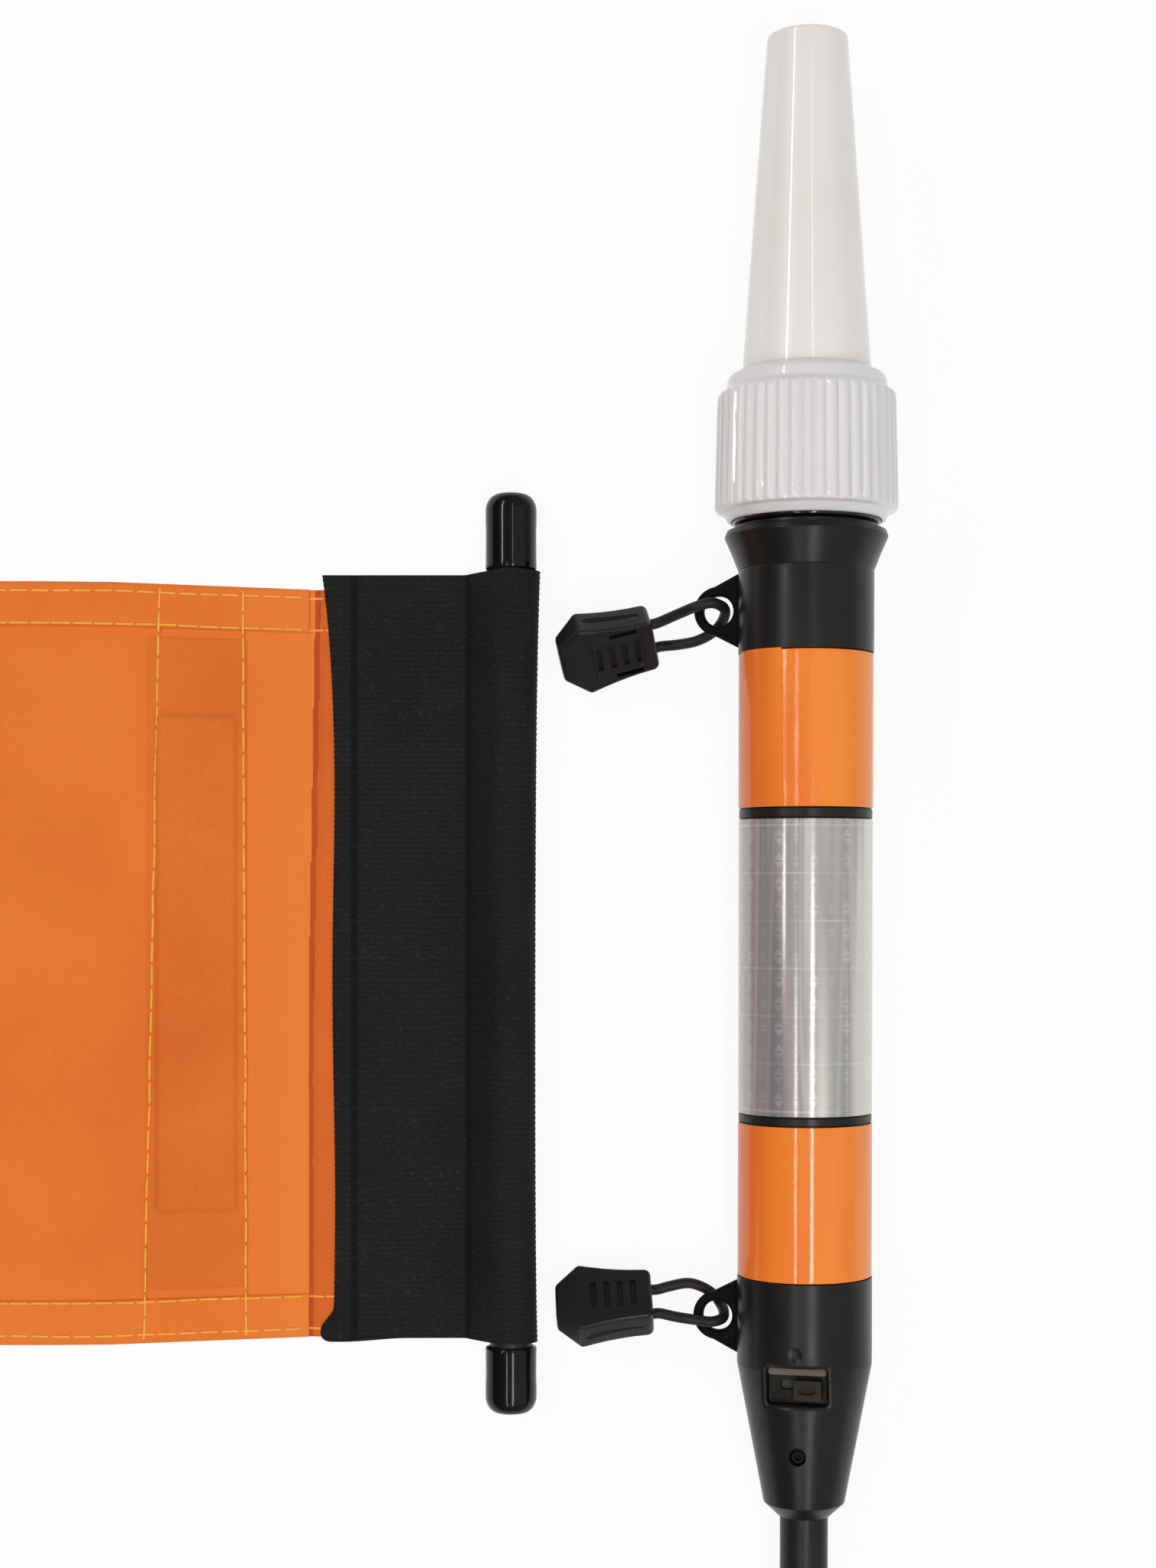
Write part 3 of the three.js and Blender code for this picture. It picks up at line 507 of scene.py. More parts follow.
# Finishes of the post and the lamp
blackPlastic = mouldedFinish(
    "black_plastic", [(20, 19, 19), (27, 25, 24), (48, 46, 44)], (0.26, 0.38), (900, 0.2, 0.06), 0.26,
)
darkSteel = mouldedFinish(
    "dark_steel", [(20, 18, 18), (27, 24, 24), (62, 60, 58)], (0.3, 0.44), (700, 0.25, 0.08), 0.28,
)
# The ears' black: duller, and darker as painted shade
matteShadedBlack = mouldedFinish(
    "matte_shaded_black", [(9, 9, 9), (13, 12, 12), (30, 29, 28)], (0.5, 0.62), (900, 0.2, 0.06), 0.06,
)
# Painted shade for the grips' grooves: a darker black, which is also rougher
grooveShadeBlack = mouldedFinish(
    "groove_shade_black", [(15, 14, 14), (19, 18, 18), (34, 33, 32)], (0.4, 0.5), (900, 0.2, 0.06), 0.16,
)
sealRubber = mouldedFinish(
    "seal_rubber", [(10, 10, 10), (16, 16, 16), (30, 30, 30)], (0.12, 0.22), (400, 0.1, 0.05),
)
screwSteel = mouldedFinish(
    "screw_steel", [(9, 9, 9), (13, 13, 13), (34, 33, 32)], (0.4, 0.55), (900, 0.3, 0.1), 0.12,
)
# Painted light: the bezel's ridge is a paler copy of its dark plastic, for light on a sloped upper wall
litRidgeGrey = mouldedFinish(
    "lit_ridge_grey", [(76, 71, 63), (88, 82, 74), (112, 106, 97)], (0.45, 0.6), (800, 0.3, 0.12),
)
windowDark = mouldedFinish(
    "window_dark", [(16, 13, 10), (22, 18, 14), (50, 45, 38)], (0.5, 0.65), (800, 0.3, 0.12), 0.2,
)
knobGrey = mouldedFinish(
    "knob_grey", [(22, 18, 15), (28, 24, 20), (54, 49, 43)], (0.45, 0.6), (800, 0.25, 0.1), 0.25,
)


def lensFinish(name, tones, glow, gloss, lumps):
    material, tree, shader, place = newMaterial(name, {
        "Subsurface Weight": 0.12, "Subsurface Scale": 0.004, "Subsurface Radius": glow, "IOR": 1.45,
        "Coat Weight": 0.6, "Coat Roughness": 0.035,
    })
    cloud = speckle(tree, place, 16, 2)
    mixed = blendOf(tree, mapped(tree, cloud, 0.3, 0.7, 0, 1), linear(*tones[0]), linear(*tones[1]))
    tree.links.new(mixed, shader.inputs["Base Color"])
    patches = speckle(tree, place, 60, 2)
    tree.links.new(mapped(tree, patches, 0.3, 0.7, gloss[0], gloss[1]), shader.inputs["Roughness"])
    flow = speckle(tree, place, 150, 2)
    normal = bumped(tree, flow, lumps, 0.08)
    tree.links.new(normal, shader.inputs["Normal"])
    tree.links.new(normal, shader.inputs["Coat Normal"])
    return material


ringPlastic = lensFinish("ring_plastic", [(222, 221, 223), (228, 227, 229)], (1, 1, 1.1), (0.3, 0.4), 0.05)
conePlastic = lensFinish("cone_plastic", [(236, 232, 228), (241, 238, 235)], (1.2, 1.05, 0.9), (0.3, 0.4), 0.1)


# Reflective tape: a tone that turns across the post as painted light, redder and darker on the left and lighter
# on the right, with a mottled tone, fine wrinkles, and an uneven film over it
ripple = {"squeeze": (0.3, 0.3, 1), "scale": 700, "depth": 0.05}


def tapeFinish(name, tones, wrinkles, filmScale, film):
    material, tree, shader, place = newMaterial(
        name, {"Coat Weight": 0.5, "Coat Roughness": 0.05, "Coat IOR": 1.65, "Specular IOR Level": 0.2},
    )
    post = alongPost(tree, place)
    cloud = speckle(tree, stretched(tree, post, (1, 1, 0.1)), 90, 3)
    across = addNode(tree, "ShaderNodeSeparateXYZ", {0: post}).outputs["X"]
    # Painted light: the tape's left side is redder and darker and its right side lighter; the mottle added on
    # top is the tape's own uneven tone
    paintedSideLightAndMottle = mapped(tree, across, -0.02, 0.02, 1, 0)
    paintedSideLightAndMottle = plus(tree, paintedSideLightAndMottle, mapped(tree, cloud, 0.35, 0.65, -0.3, 0.3))
    paintedSideLightAndMottle = mapped(tree, paintedSideLightAndMottle, 0, 1, 0, 1)
    tree.links.new(blendOf(tree, paintedSideLightAndMottle, linear(*tones[0]), linear(*tones[1])), shader.inputs["Base Color"])
    shader.inputs["Roughness"].default_value = 0.45
    wrinkle = speckle(tree, stretched(tree, post, ripple["squeeze"]), ripple["scale"], 4, 0.6)
    tree.links.new(bumped(tree, wrinkle, wrinkles, ripple["depth"]), shader.inputs["Normal"])
    uneven = speckle(tree, place, filmScale, 2)
    tree.links.new(bumped(tree, uneven, film, ripple["depth"]), shader.inputs["Coat Normal"])
    return material


orangeTape = tapeFinish("orange_tape", [(246, 138, 31), (238, 116, 38)], 0.2, 1500, 0.35)
upperTape = tapeFinish("upper_tape", [(246, 139, 32), (238, 117, 38)], 0.25, 1400, 0.75)


# Prismatic silver: split diamonds, large and small by turns, with a fine line between their rows under a film,
# over a tone of painted reflection bands
silverPrint = {"radius": 22.25, "column": 11.65, "row": 7.75, "slant": 1.3}


def silverFinish(name):
    material, tree, shader, place = newMaterial(
        name, {"Metallic": 0.3, "Coat Weight": 1, "Coat Roughness": 0.14, "Coat IOR": 1.8},
    )
    post = alongPost(tree, place)
    parts = addNode(tree, "ShaderNodeSeparateXYZ", {0: post})
    angle = calculated(tree, "ARCTAN2", parts.outputs["X"], times(tree, parts.outputs["Y"], -1))
    around = times(tree, angle, silverPrint["radius"])
    along = times(tree, parts.outputs["Z"], 1 / mm)
    columnWidth, rowHeight = silverPrint["column"], silverPrint["row"]

    # Where a point lies in its cell, from -0.5 to 0.5
    def inCell(value, size):
        return minus(tree, calculated(tree, "FRACT", calculated(tree, "DIVIDE", value, size)), 0.5)

    def diamond(sideways, edge, end, strength):
        reach = plus(tree, times(tree, sideways, silverPrint["slant"]), up)
        return mapped(tree, reach, edge, end, strength, 0)

    across = absolute(tree, times(tree, inCell(around, columnWidth), columnWidth))
    up = absolute(tree, times(tree, inCell(along, rowHeight), rowHeight))
    beside = minus(tree, columnWidth / 2, across)
    diamonds = calculated(tree, "MAXIMUM", diamond(across, 2.1, 3.1, 1), diamond(beside, 1.4, 2.6, 0.6))
    diamonds = times(tree, diamonds, mapped(tree, up, 0.15, 0.5, 0, 1))
    line = mapped(tree, absolute(tree, inCell(along, 2 * rowHeight)), 0.012, 0.03, 1, 0)
    marks = calculated(tree, "MAXIMUM", diamonds, line)
    # Painted reflection: noise bands along the tape in grey, pink, blue-grey and beige, plus painted sheen that
    # lightens both sides of the tube
    paintedSheenBands = speckle(tree, stretched(tree, post, (1, 1, 0.03)), 120, 1)
    paintedSideSheen = mapped(tree, absolute(tree, parts.outputs["X"]), 0.004, 0.022, -0.11, 0.17)
    tone = addNode(tree, "ShaderNodeValToRGB", {"Fac": plus(tree, paintedSheenBands, paintedSideSheen)})
    stops = [
        (0.3, (126, 126, 129)), (0.39, (164, 152, 148)), (0.45, (144, 145, 148)), (0.52, (178, 175, 172)),
        (0.58, (158, 156, 157)), (0.7, (210, 205, 197)),
    ]
    for element, (position, colour) in zip(tone.color_ramp.elements, (stops[0], stops[-1])):
        element.position = position
        element.color = linear(*colour)
    for position, colour in stops[1:-1]:
        tone.color_ramp.elements.new(position).color = linear(*colour)
    worn = mapped(tree, speckle(tree, place, 75, 3), 0.4, 0.62, 0.08, 0.3)
    strength = times(tree, marks, worn)
    mixed = blendOf(tree, strength, tone.outputs["Color"], linear(232, 232, 232))
    tree.links.new(mixed, shader.inputs["Base Color"])
    glitter = addNode(tree, "ShaderNodeTexVoronoi", {"Vector": place, "Scale": 900}).outputs["Distance"]
    tree.links.new(mapped(tree, glitter, 0, 0.7, 0.36, 0.54), shader.inputs["Roughness"])
    tree.links.new(bumped(tree, marks, 0.15, 0.05), shader.inputs["Normal"])
    film = speckle(tree, place, 90, 2)
    tree.links.new(bumped(tree, film, 0.2, 0.1), shader.inputs["Coat Normal"])
    return material


silverTape = silverFinish("silver_tape")

# Post tube and the three reflective tapes round it
tube = {
    "inner": 19.9, "seat": 21.45, "band": 22.05,
    "bands": [(80.4, 83.2), (180.7, 184.0)], "ends": (29.3, 235.1), "edge": 0.35,
}
tapes = {
    "inner": 21.75, "outer": 22.25, "edge": 0.18,
    "lower_tape": (29.3, 80.1), "silver_band": (83.5, 180.4), "upper_tape": (184.3, 235.1),
    "lap": {
        "from": -64, "to": -11, "steps": 20, "rise": 0.22, "sink": 0.15,
        "start": 184.5, "end": 235.6, "slant": 1.1,
    },
}


def postTube():
    start, end = tube["ends"]
    profile = [(tube["inner"], start), (tube["seat"], start)]
    for low, high in tube["bands"]:
        profile += [
            (tube["seat"], low), (tube["band"] - tube["edge"], low), (tube["band"], low + tube["edge"]),
            (tube["band"], high - tube["edge"]), (tube["band"] - tube["edge"], high), (tube["seat"], high),
        ]
    profile += [(tube["seat"], end), (tube["inner"], end), (tube["inner"], start)]
    return smoothed(placed(turned("post_shell", profile, 128), postPlace))


def tapeBand(name):
    edge = tapes["edge"]
    start, end = tapes[name]
    band = turned(name, [
        (tapes["inner"], start), (tapes["outer"] - edge, start), (tapes["outer"], start + edge),
        (tapes["outer"], end - edge), (tapes["outer"] - edge, end), (tapes["inner"], end),
        (tapes["inner"], start),
    ], 128)
    return smoothed(placed(band, postPlace))


# The upper tape's end lies over its start, with a step where it stops
def tapeLap(name):
    lap = tapes["lap"]
    steps = lap["steps"]

    def around(i, radius):
        angle = (lap["from"] + (lap["to"] - lap["from"]) * i / steps) * degree
        return radius * math.sin(angle), -radius * math.cos(angle)

    points = [around(i, tapes["outer"] + lap["rise"] * min(i / 8, 1)) for i in range(steps + 1)]
    points += [around(i, tapes["outer"] - lap["sink"]) for i in range(steps, -1, -1)]
    piece = drawn(name, points, lap["start"], lap["end"])

    # The end is cut a little askew
    def slanted(x, y, z):
        turn = lap["slant"] * degree * (z - lap["start"]) / 25
        return x * math.cos(turn) + y * math.sin(turn), y * math.cos(turn) - x * math.sin(turn), z

    return smoothed(placed(reshaped(piece, slanted), postPlace), 30)


dressed(postTube(), blackPlastic, "post", ["post_tube"])
dressed(tapeBand("lower_tape"), orangeTape, "post", ["tape_lower"])
dressed(tapeBand("silver_band"), silverTape, "post", ["tape_silver"])
dressed(tapeBand("upper_tape"), upperTape, "post", ["tape_upper"])
dressed(tapeLap("tape_lap"), upperTape, "post")
print("tube and tapes made")

# Lower socket and upper collar, each with its ear
socket = {
    "radius": 22.4, "taper": (13.5, 46.7), "foot": (8.6, 51.3), "shoulder": 29, "spigot": (19.6, 60),
    "bore": (17, 48), "rodBore": (8.3, 16), "soft": 0.6,
    "window": (19.7, 12.3), "station": -4.95, "floor": 14, "corner": 1.5,
    "rim": [(0, 2.4), (0.12, 1.5), (0.4, 0.85), (0.85, 0.4), (1.4, 0.1), (2.1, -0.03), (2.4, -0.3)],
    "rimTop": 30, "cutterTop": 100,
    "well": (11.8, 3.8, 0.5), "wellFloor": 10.5, "wellTop": 15,
    "dimple": {"station": 5.9, "sphere": 6.4, "depth": 0.6},
}
screwHead = {
    "radius": 2.4, "bottom": 8.3, "top": 14.7, "key": 1.3, "keyDepth": 1.6, "station": -28.9,
    "edge": 0.4, "hole": 2.7, "holeBottom": 8.2, "surface": 16.9,
}
collar = {
    "profile": [
        (16.5, 192), (19.6, 192), (19.6, 235.4), (22.4, 235.4), (22.4, 262.3), (22.22, 262.55), (22.45, 262.8),
        (24.6, 268.2), (27, 273.7), (26.3, 275.6), (16.5, 275.6), (16.5, 192),
    ],
    "flare": 262,
}


def earPlate(name, station):
    root, half, reach, nose = ear["root"], ear["half"], ear["reach"], ear["nose"]
    spread = math.hypot(reach - root, half)
    lean = (math.asin(nose / spread) + math.atan2(half, reach - root)) / degree
    points = [(-root, -half), (-root, half)] + arc(-reach, 0, nose, 180 - lean, 180 + lean, 24)
    plate = drawn(name, shifted(points, 0, station), -ear["thickness"] / 2, ear["thickness"] / 2)
    softened(plate, ear["edge"], 3, 50)
    return placed(plate, turnBy(90, "X"))


def earBore(station):
    hole, half = ear["hole"], ear["thickness"] / 2
    bore = turned("ear_bore", [
        (hole + 1.4, -half - 0.6), (hole + 0.8, -half), (hole + 0.25, 0.45 - half), (hole, 1 - half),
        (hole, half - 1), (hole + 0.25, half - 0.45), (hole + 0.8, half), (hole + 1.4, half + 0.6),
    ], 48)
    place = Matrix.Translation(Vector((-ear["reach"], 0, station)) * mm) @ turnBy(90, "X")
    return placed(bore, place)


def socketShape():
    radius, shoulder = socket["radius"], socket["shoulder"]
    (tip, taper), (foot, end), (rod, rodTop) = socket["taper"], socket["foot"], socket["rodBore"]
    (spigot, top), (bore, bottom) = socket["spigot"], socket["bore"]
    outside = [(foot, -end), (tip, -taper), (radius, 0), (radius, shoulder), (spigot, shoulder), (spigot, top)]
    return turned("socket", [(rod, -rodTop), (rod, -end), *outside, (bore, top), (bore, bottom)], 128)


def socketRadius(station):
    tip, taper = socket["taper"]
    return socket["radius"] + min(station, 0) * ((socket["radius"] - tip) / taper)


# The window's cutter follows the tube's surface, so that its rim is softened evenly: the rings of the rim are
# raised one above the other first, and each is then dropped to its depth below the surface
def windowCutter():
    width, height = socket["window"]
    outline = roundedBox(width, height, socket["corner"], 5, 14)
    top = socket["cutterTop"]
    cutter = drawn("window_cutter", outline, socket["floor"], top)
    startPicked(cutter, lambda x, y, z: z > top - 1)
    offset = 0
    for nextOffset, depth in socket["rim"][1:]:
        raiseBy(1)
        wide = [(side + 2 * nextOffset) / (side + 2 * offset) for side in (width, height)]
        bpy.ops.transform.resize(value=(*wide, 1), center_override=(0, 0, 0))
        offset = nextOffset
    raiseBy(50)
    endEdit()

    def dropped(x, y, z):
        if z > top + 20:
            z = socket["rimTop"]
        elif z > top - 1:
            radius = socketRadius(y + socket["station"])
            z = math.sqrt(radius ** 2 - x * x) - socket["rim"][round(z - top)][1]
        return x, y + socket["station"], z

    return placed(reshaped(cutter, dropped), turnBy(90, "X"))


# For what is turned upright, to point out of the post's front at a station along it
def frontAt(station):
    return moveBy(0, 0, station) @ turnBy(90, "X")


def lowerSocket():
    piece = softened(socketShape(), socket["soft"], 3, 8)
    combined(piece, earPlate("socket_ear", ear["lower"]), "UNION")
    combined(piece, earBore(ear["lower"]))
    combined(piece, windowCutter())
    outline = shifted(roundedBox(*socket["well"]), 0, socket["station"])
    well = drawn("switch_well", outline, socket["wellFloor"], socket["wellTop"])
    combined(piece, placed(well, turnBy(90, "X")))
    hole, low, surface = screwHead["hole"], screwHead["holeBottom"], screwHead["surface"]
    bore = turned("screw_bore", [(hole, low), (hole, surface - 0.5), (hole + 0.9, surface + 0.7)], 32)
    combined(piece, placed(bore, frontAt(screwHead["station"])))
    dimple = socket["dimple"]
    clearSelection()
    bpy.ops.mesh.primitive_uv_sphere_add(
        segments=64, ring_count=48, radius=dimple["sphere"] * mm,
        location=(0, -(socket["radius"] - dimple["depth"] + dimple["sphere"]) * mm, dimple["station"] * mm),
    )
    combined(piece, added("dimple_ball"))
    closeUp(piece, 0.01)
    return smoothed(placed(piece, postPlace), 24, True)


def upperCollar():
    piece = softened(turned("collar", collar["profile"], 128), 0.35, 2, 20)
    combined(piece, earPlate("collar_ear", ear["upper"]), "UNION")
    combined(piece, earBore(ear["upper"]))
    closeUp(piece, 0.01)
    return smoothed(placed(piece, postPlace), 24, True)


# The ears look duller than the round parts, and their darker tone is painted shade
def onEar(x, y, z):
    return x < 0 and math.hypot(x, y) > ear["startRadius"] and z < collar["flare"]


for shape, node in ((lowerSocket, "lower_socket"), (upperCollar, "upper_collar")):
    holder = dressed(shape(), blackPlastic, "post", [node])
    partDressed(holder, matteShadedBlack, postPlace, onEar)
print("socket and collar made")

# Stake rod, its screw, and the switch in the window
stake = {"radius": 8, "chamfer": 1.4, "end": -201.3, "top": -16.3}
switch = {
    "plate": (19.1, 11.7, 1.2), "bottom": 14.3, "thickness": 1.2, "ridge": (2.4, 1.6), "ridgeCorner": 0.8,
    "wedge": {"from": 0.5, "to": 5.4, "low": 0.6, "high": 3.4, "depth": 0.55},
    "slot": (11.2, 3.2, 0.6), "edge": 0.14, "knob": (9.3, 7, 3.4), "knobCorner": 0.9, "knobEdge": 0.45,
    "knobOffset": 3.5, "knobBottom": 15.8, "knobSlot": (5.6, 2.4, 1.4), "knobSlotCorner": 1.19,
    "stem": (3.6, 2.6, 0.4), "stemLength": 2.1,
}


def stakeRod():
    chamfer = stake["chamfer"]
    rod = turned("stake", [
        (stake["radius"] - chamfer, stake["end"]), (stake["radius"], stake["end"] + chamfer),
        (stake["radius"], stake["top"] - chamfer), (stake["radius"] - chamfer, stake["top"]),
    ], 64)
    return smoothed(placed(softened(rod, 0.4, 2, 20), postPlace))


def rodScrew():
    radius, bottom, top, edge = (screwHead[size] for size in ("radius", "bottom", "top", "edge"))
    head = turned("socket_screw", [(radius, bottom), (radius, top - edge), (radius - edge, top)], 40)
    key = screwHead["key"]
    combined(head, turned("screw_key", [(key, top - screwHead["keyDepth"]), (key, top + 1)], 6))
    return smoothed(placed(head, postPlace @ frontAt(screwHead["station"])), 30, True)


def switchPlate():
    width, height, corner = switch["plate"]
    bottom, top = switch["bottom"], switch["bottom"] + switch["thickness"]
    plate = drawn("switch_bezel", roundedBox(width, height, corner), bottom, top)
    ridgeWidth, ridgeHeight = switch["ridge"]
    outline = shifted(roundedBox(width, ridgeWidth, switch["ridgeCorner"]), 0, (height - ridgeWidth) / 2)
    ridge = drawn("bezel_ridge", outline, top - 0.05, top + ridgeHeight)
    wedge = switch["wedge"]
    left, right, low = wedge["from"] - width / 2, wedge["to"] - width / 2, wedge["low"] - height / 2
    corners = [(left, low), (right, low), (right, height / 2 - wedge["high"])]
    combined(plate, drawn("bezel_wedge", corners, top - wedge["depth"], bottom + 9))
    combined(plate, drawn("bezel_slot", roundedBox(*switch["slot"]), bottom - 2, top + 0.4))
    place = frontPlace @ moveBy(0, socket["station"], 0)
    return [
        smoothed(placed(softened(piece, switch["edge"], 2, 40), place), 30, True) for piece in (plate, ridge)
    ]


def switchKnob():
    width, height, depth = switch["knob"]
    bottom = switch["knobBottom"]
    middle = -switch["ridge"][0] / 2
    top = bottom + depth
    outline = shifted(roundedBox(width, height, switch["knobCorner"]), 0, middle)
    knob = softened(drawn("switch_block", outline, bottom, top), switch["knobEdge"], 3, 40)
    slotWidth, slotHeight, slotDepth = switch["knobSlot"]
    outline = shifted(roundedBox(slotWidth, slotHeight, switch["knobSlotCorner"], 6), 0, middle)
    combined(knob, drawn("knob_groove", outline, top - slotDepth, top + 1))
    stem = drawn("knob_stem", roundedBox(*switch["stem"]), bottom - switch["stemLength"], bottom + 0.3)
    combined(knob, stem, "UNION")
    place = moveBy(switch["knobOffset"], socket["station"], 0)
    return smoothed(placed(knob, frontPlace @ place), 30, True)


dressed(stakeRod(), darkSteel, "post", ["stake_rod"])
dressed(rodScrew(), screwSteel, "post", ["rod_screw"])
bezel, bezelRidge = switchPlate()
dressed(bezel, windowDark, "post", ["switch_plate"])
# The ridge takes painted light
dressed(bezelRidge, litRidgeGrey, "post")
dressed(switchKnob(), knobGrey, "switch", ["switch_knob"])
print("stake and switch made")

# Lamp: head, seal, ribbed ring and cone
head = {
    "profile": [
        (2, 258.6), (16.2, 258.6), (16.2, 275.9), (23.3, 275.9), (23.3, 277.3), (21.8, 277.3), (21.8, 280.3),
        (23.3, 280.3), (23.3, 320.1), (20.4, 320.1), (20.4, 290.1), (2, 290.1), (2, 258.6),
    ],
}
seal = {"radius": 1.25, "centre": 23.35, "station": 278.8, "points": 16}
ring = {
    "ribs": 44, "sidesPerRib": 10, "depth": 0.75, "ribStart": 282.2, "ribEnd": 320.8,
    "outside": [
        (25.6, 278.8), (26.1, 279.1), (27.3, 281.2), (27.7, 281.7), (28.9, 281.95), (29.6, 282.25),
        (30.02, 282.9), (30.1, 283.8), (29.9, 292), (29.65, 302), (29.42, 312), (29.25, 318.6), (29.1, 319.8),
        (28.6, 320.5), (27.9, 320.95), (27.0, 321.6), (26.72, 322.3), (26.5, 323.2), (26.15, 325.0),
        (25.8, 325.9), (25.1, 326.5), (23.2, 327.4), (21.9, 328.0), (21.5, 328.2),
    ],
    "inside": [(21.5, 324.7), (23.6, 324.7), (23.6, 284.2), (24.9, 284.2), (24.9, 278.8)],
    "fade": 1.4, "overrun": 0.3, "ribFoot": 26.2, "valleyShare": 0.34, "valleyPower": 1.3, "crown": 0.16,
}
cone = {
    "outside": [(23.3, 320.4), (23.3, 324.4), (21.2, 324.4), (21.2, 328.2)],
    "crown": 1.2, "top": 438.2, "topRadius": 13.3, "wall": 1.6, "dome": 0.7, "steps": 12,
}


def headSeal():
    profile = arc(seal["centre"], seal["station"], seal["radius"], 0, 360, seal["points"])
    profile[-1] = profile[0]
    return smoothed(placed(turned("seal_bead", profile), postPlace), 180)


def lampRing():
    profile = ring["outside"] + ring["inside"] + ring["outside"][:1]
    piece = turned("lamp_collar_ring", profile, ring["ribs"] * ring["sidesPerRib"])
    low, high = ring["ribStart"] - ring["overrun"], ring["ribEnd"] + ring["overrun"]

    def ribbed(x, y, z):
        radius = math.hypot(x, y)
        if radius < ring["ribFoot"] or not low < z < high:
            return x, y, z
        around = (math.atan2(y, x) / (2 * math.pi) * ring["ribs"]) % 1
        valley = max(0, 1 - abs(around - 0.5) / ring["valleyShare"]) ** ring["valleyPower"]
        end = ease(z, low, ring["ribStart"] + ring["fade"])
        end *= 1 - ease(z, ring["ribEnd"] - ring["fade"], high)
        crown = ring["crown"] * math.cos((around - 0.5) * 2 * math.pi)
        scale = (radius - valley * ring["depth"] * end - crown * end) / radius
        return x * scale, y * scale, z

    return smoothed(placed(reshaped(piece, ribbed), postPlace), 40)


def lampCone():
    top, radius, crown, wall = cone["top"], cone["topRadius"], cone["crown"], cone["wall"]
    base, foot = cone["outside"][-1]
    outside = list(cone["outside"])
    wallTop = top - cone["dome"] - crown
    for i in range(1, cone["steps"] + 1):
        share = i / cone["steps"]
        outside.append((base + (radius - base) * share, foot + (wallTop - foot) * share))
    outside += arc(radius - crown, wallTop, crown, 12, 90, 7)
    outside += [(7, top - 0.2), (3, top - 0.04), (0.4, top)]
    inside = [(0.4, top - wall), (7, top - wall - 0.2), (radius - crown, wallTop + crown - wall)]
    inside += [(radius - wall, wallTop), (base - wall, foot), (base - wall, cone["outside"][0][1])]
    return smoothed(placed(turned("lamp_wand", outside + inside + outside[:1], 128), postPlace), 50)


plug = softened(turned("lamp_plug", head["profile"]), 0.2)
dressed(smoothed(placed(plug, postPlace)), blackPlastic, "post", ["lamp_head"])
dressed(headSeal(), sealRubber, "post", ["head_oring"])
dressed(lampRing(), ringPlastic, "ring", ["lamp_ring"])
dressed(lampCone(), conePlastic, "cone", ["lamp_cone"])
print("lamp made")

# Pull grips and the ribbed inserts in their faces
grip = {
    "length": 32.5, "narrow": 10, "wide": 13.5, "tip": 6.8, "shoulder": 24.4, "thickness": 11.5, "edge": 1.2,
    "corner": 2.4, "waist": 0.7, "tipThin": 0.66,
    "insert": (17, 14.6, 2.6), "insertX": -12.9, "notch": 1.7, "notchLength": 9.4, "notchX": -10.2,
    "grooves": 4, "pitch": 4.4, "grooveWidth": 2, "grooveDepth": 0.7, "padGroove": 9, "backGroove": 10.5,
    "gap": 0.14, "bed": 0.3, "pocketCorner": 0.65, "padCorner": 0.6, "padEdge": 0.25, "grooveCorner": 0.7,
    "grooveSlack": 0.05, "grooveReach": 5.4,
    "flute": [(0.4, 0), (2.4, 1.2), (3.2, 3.6), (3.35, 8), (3.3, 12.5), (2.95, 17), (2.4, 20.5), (0.4, 22)],
    "fluteLift": 2, "fluteStart": -23.6, "bore": 2.1, "boreDepth": 7,
}


def gripOutline():
    narrow, wide, tip, corner = grip["narrow"], grip["wide"], grip["tip"], grip["corner"]
    side = arc(-corner, narrow - corner, corner, 0, 80, 5)
    for i in range(1, 5):
        share = i / 5
        bow = 4 * share * (1 - share) * grip["waist"]
        side.append((-corner - (grip["shoulder"] - corner) * share, narrow + (wide - narrow) * share - bow))
    side += [(-grip["shoulder"], wide), (-grip["length"], tip)]
    return side + [(x, -y) for x, y in reversed(side)]


def gripGroove(name, centre, width, faceHeight):
    depth = grip["grooveDepth"]
    half = grip["grooveWidth"] / 2
    points = shifted(roundedBox(2 * half, width, grip["grooveCorner"]), centre, 0)
    return drawn(name, points, faceHeight - depth, faceHeight + depth)


def grooveCentres():
    count = grip["grooves"]
    return [grip["insertX"] + (i - (count - 1) / 2) * grip["pitch"] for i in range(count)]


# Cuts a straight recess into a grip's front, as deep as the insert and its bed
def recessed(body, name, width, height, corner, centre):
    half, deep = grip["thickness"] / 2, grip["insert"][2]
    outline = shifted(roundedBox(width, height, corner), centre, 0)
    combined(body, drawn(name, outline, half - deep - grip["bed"], half + 1))


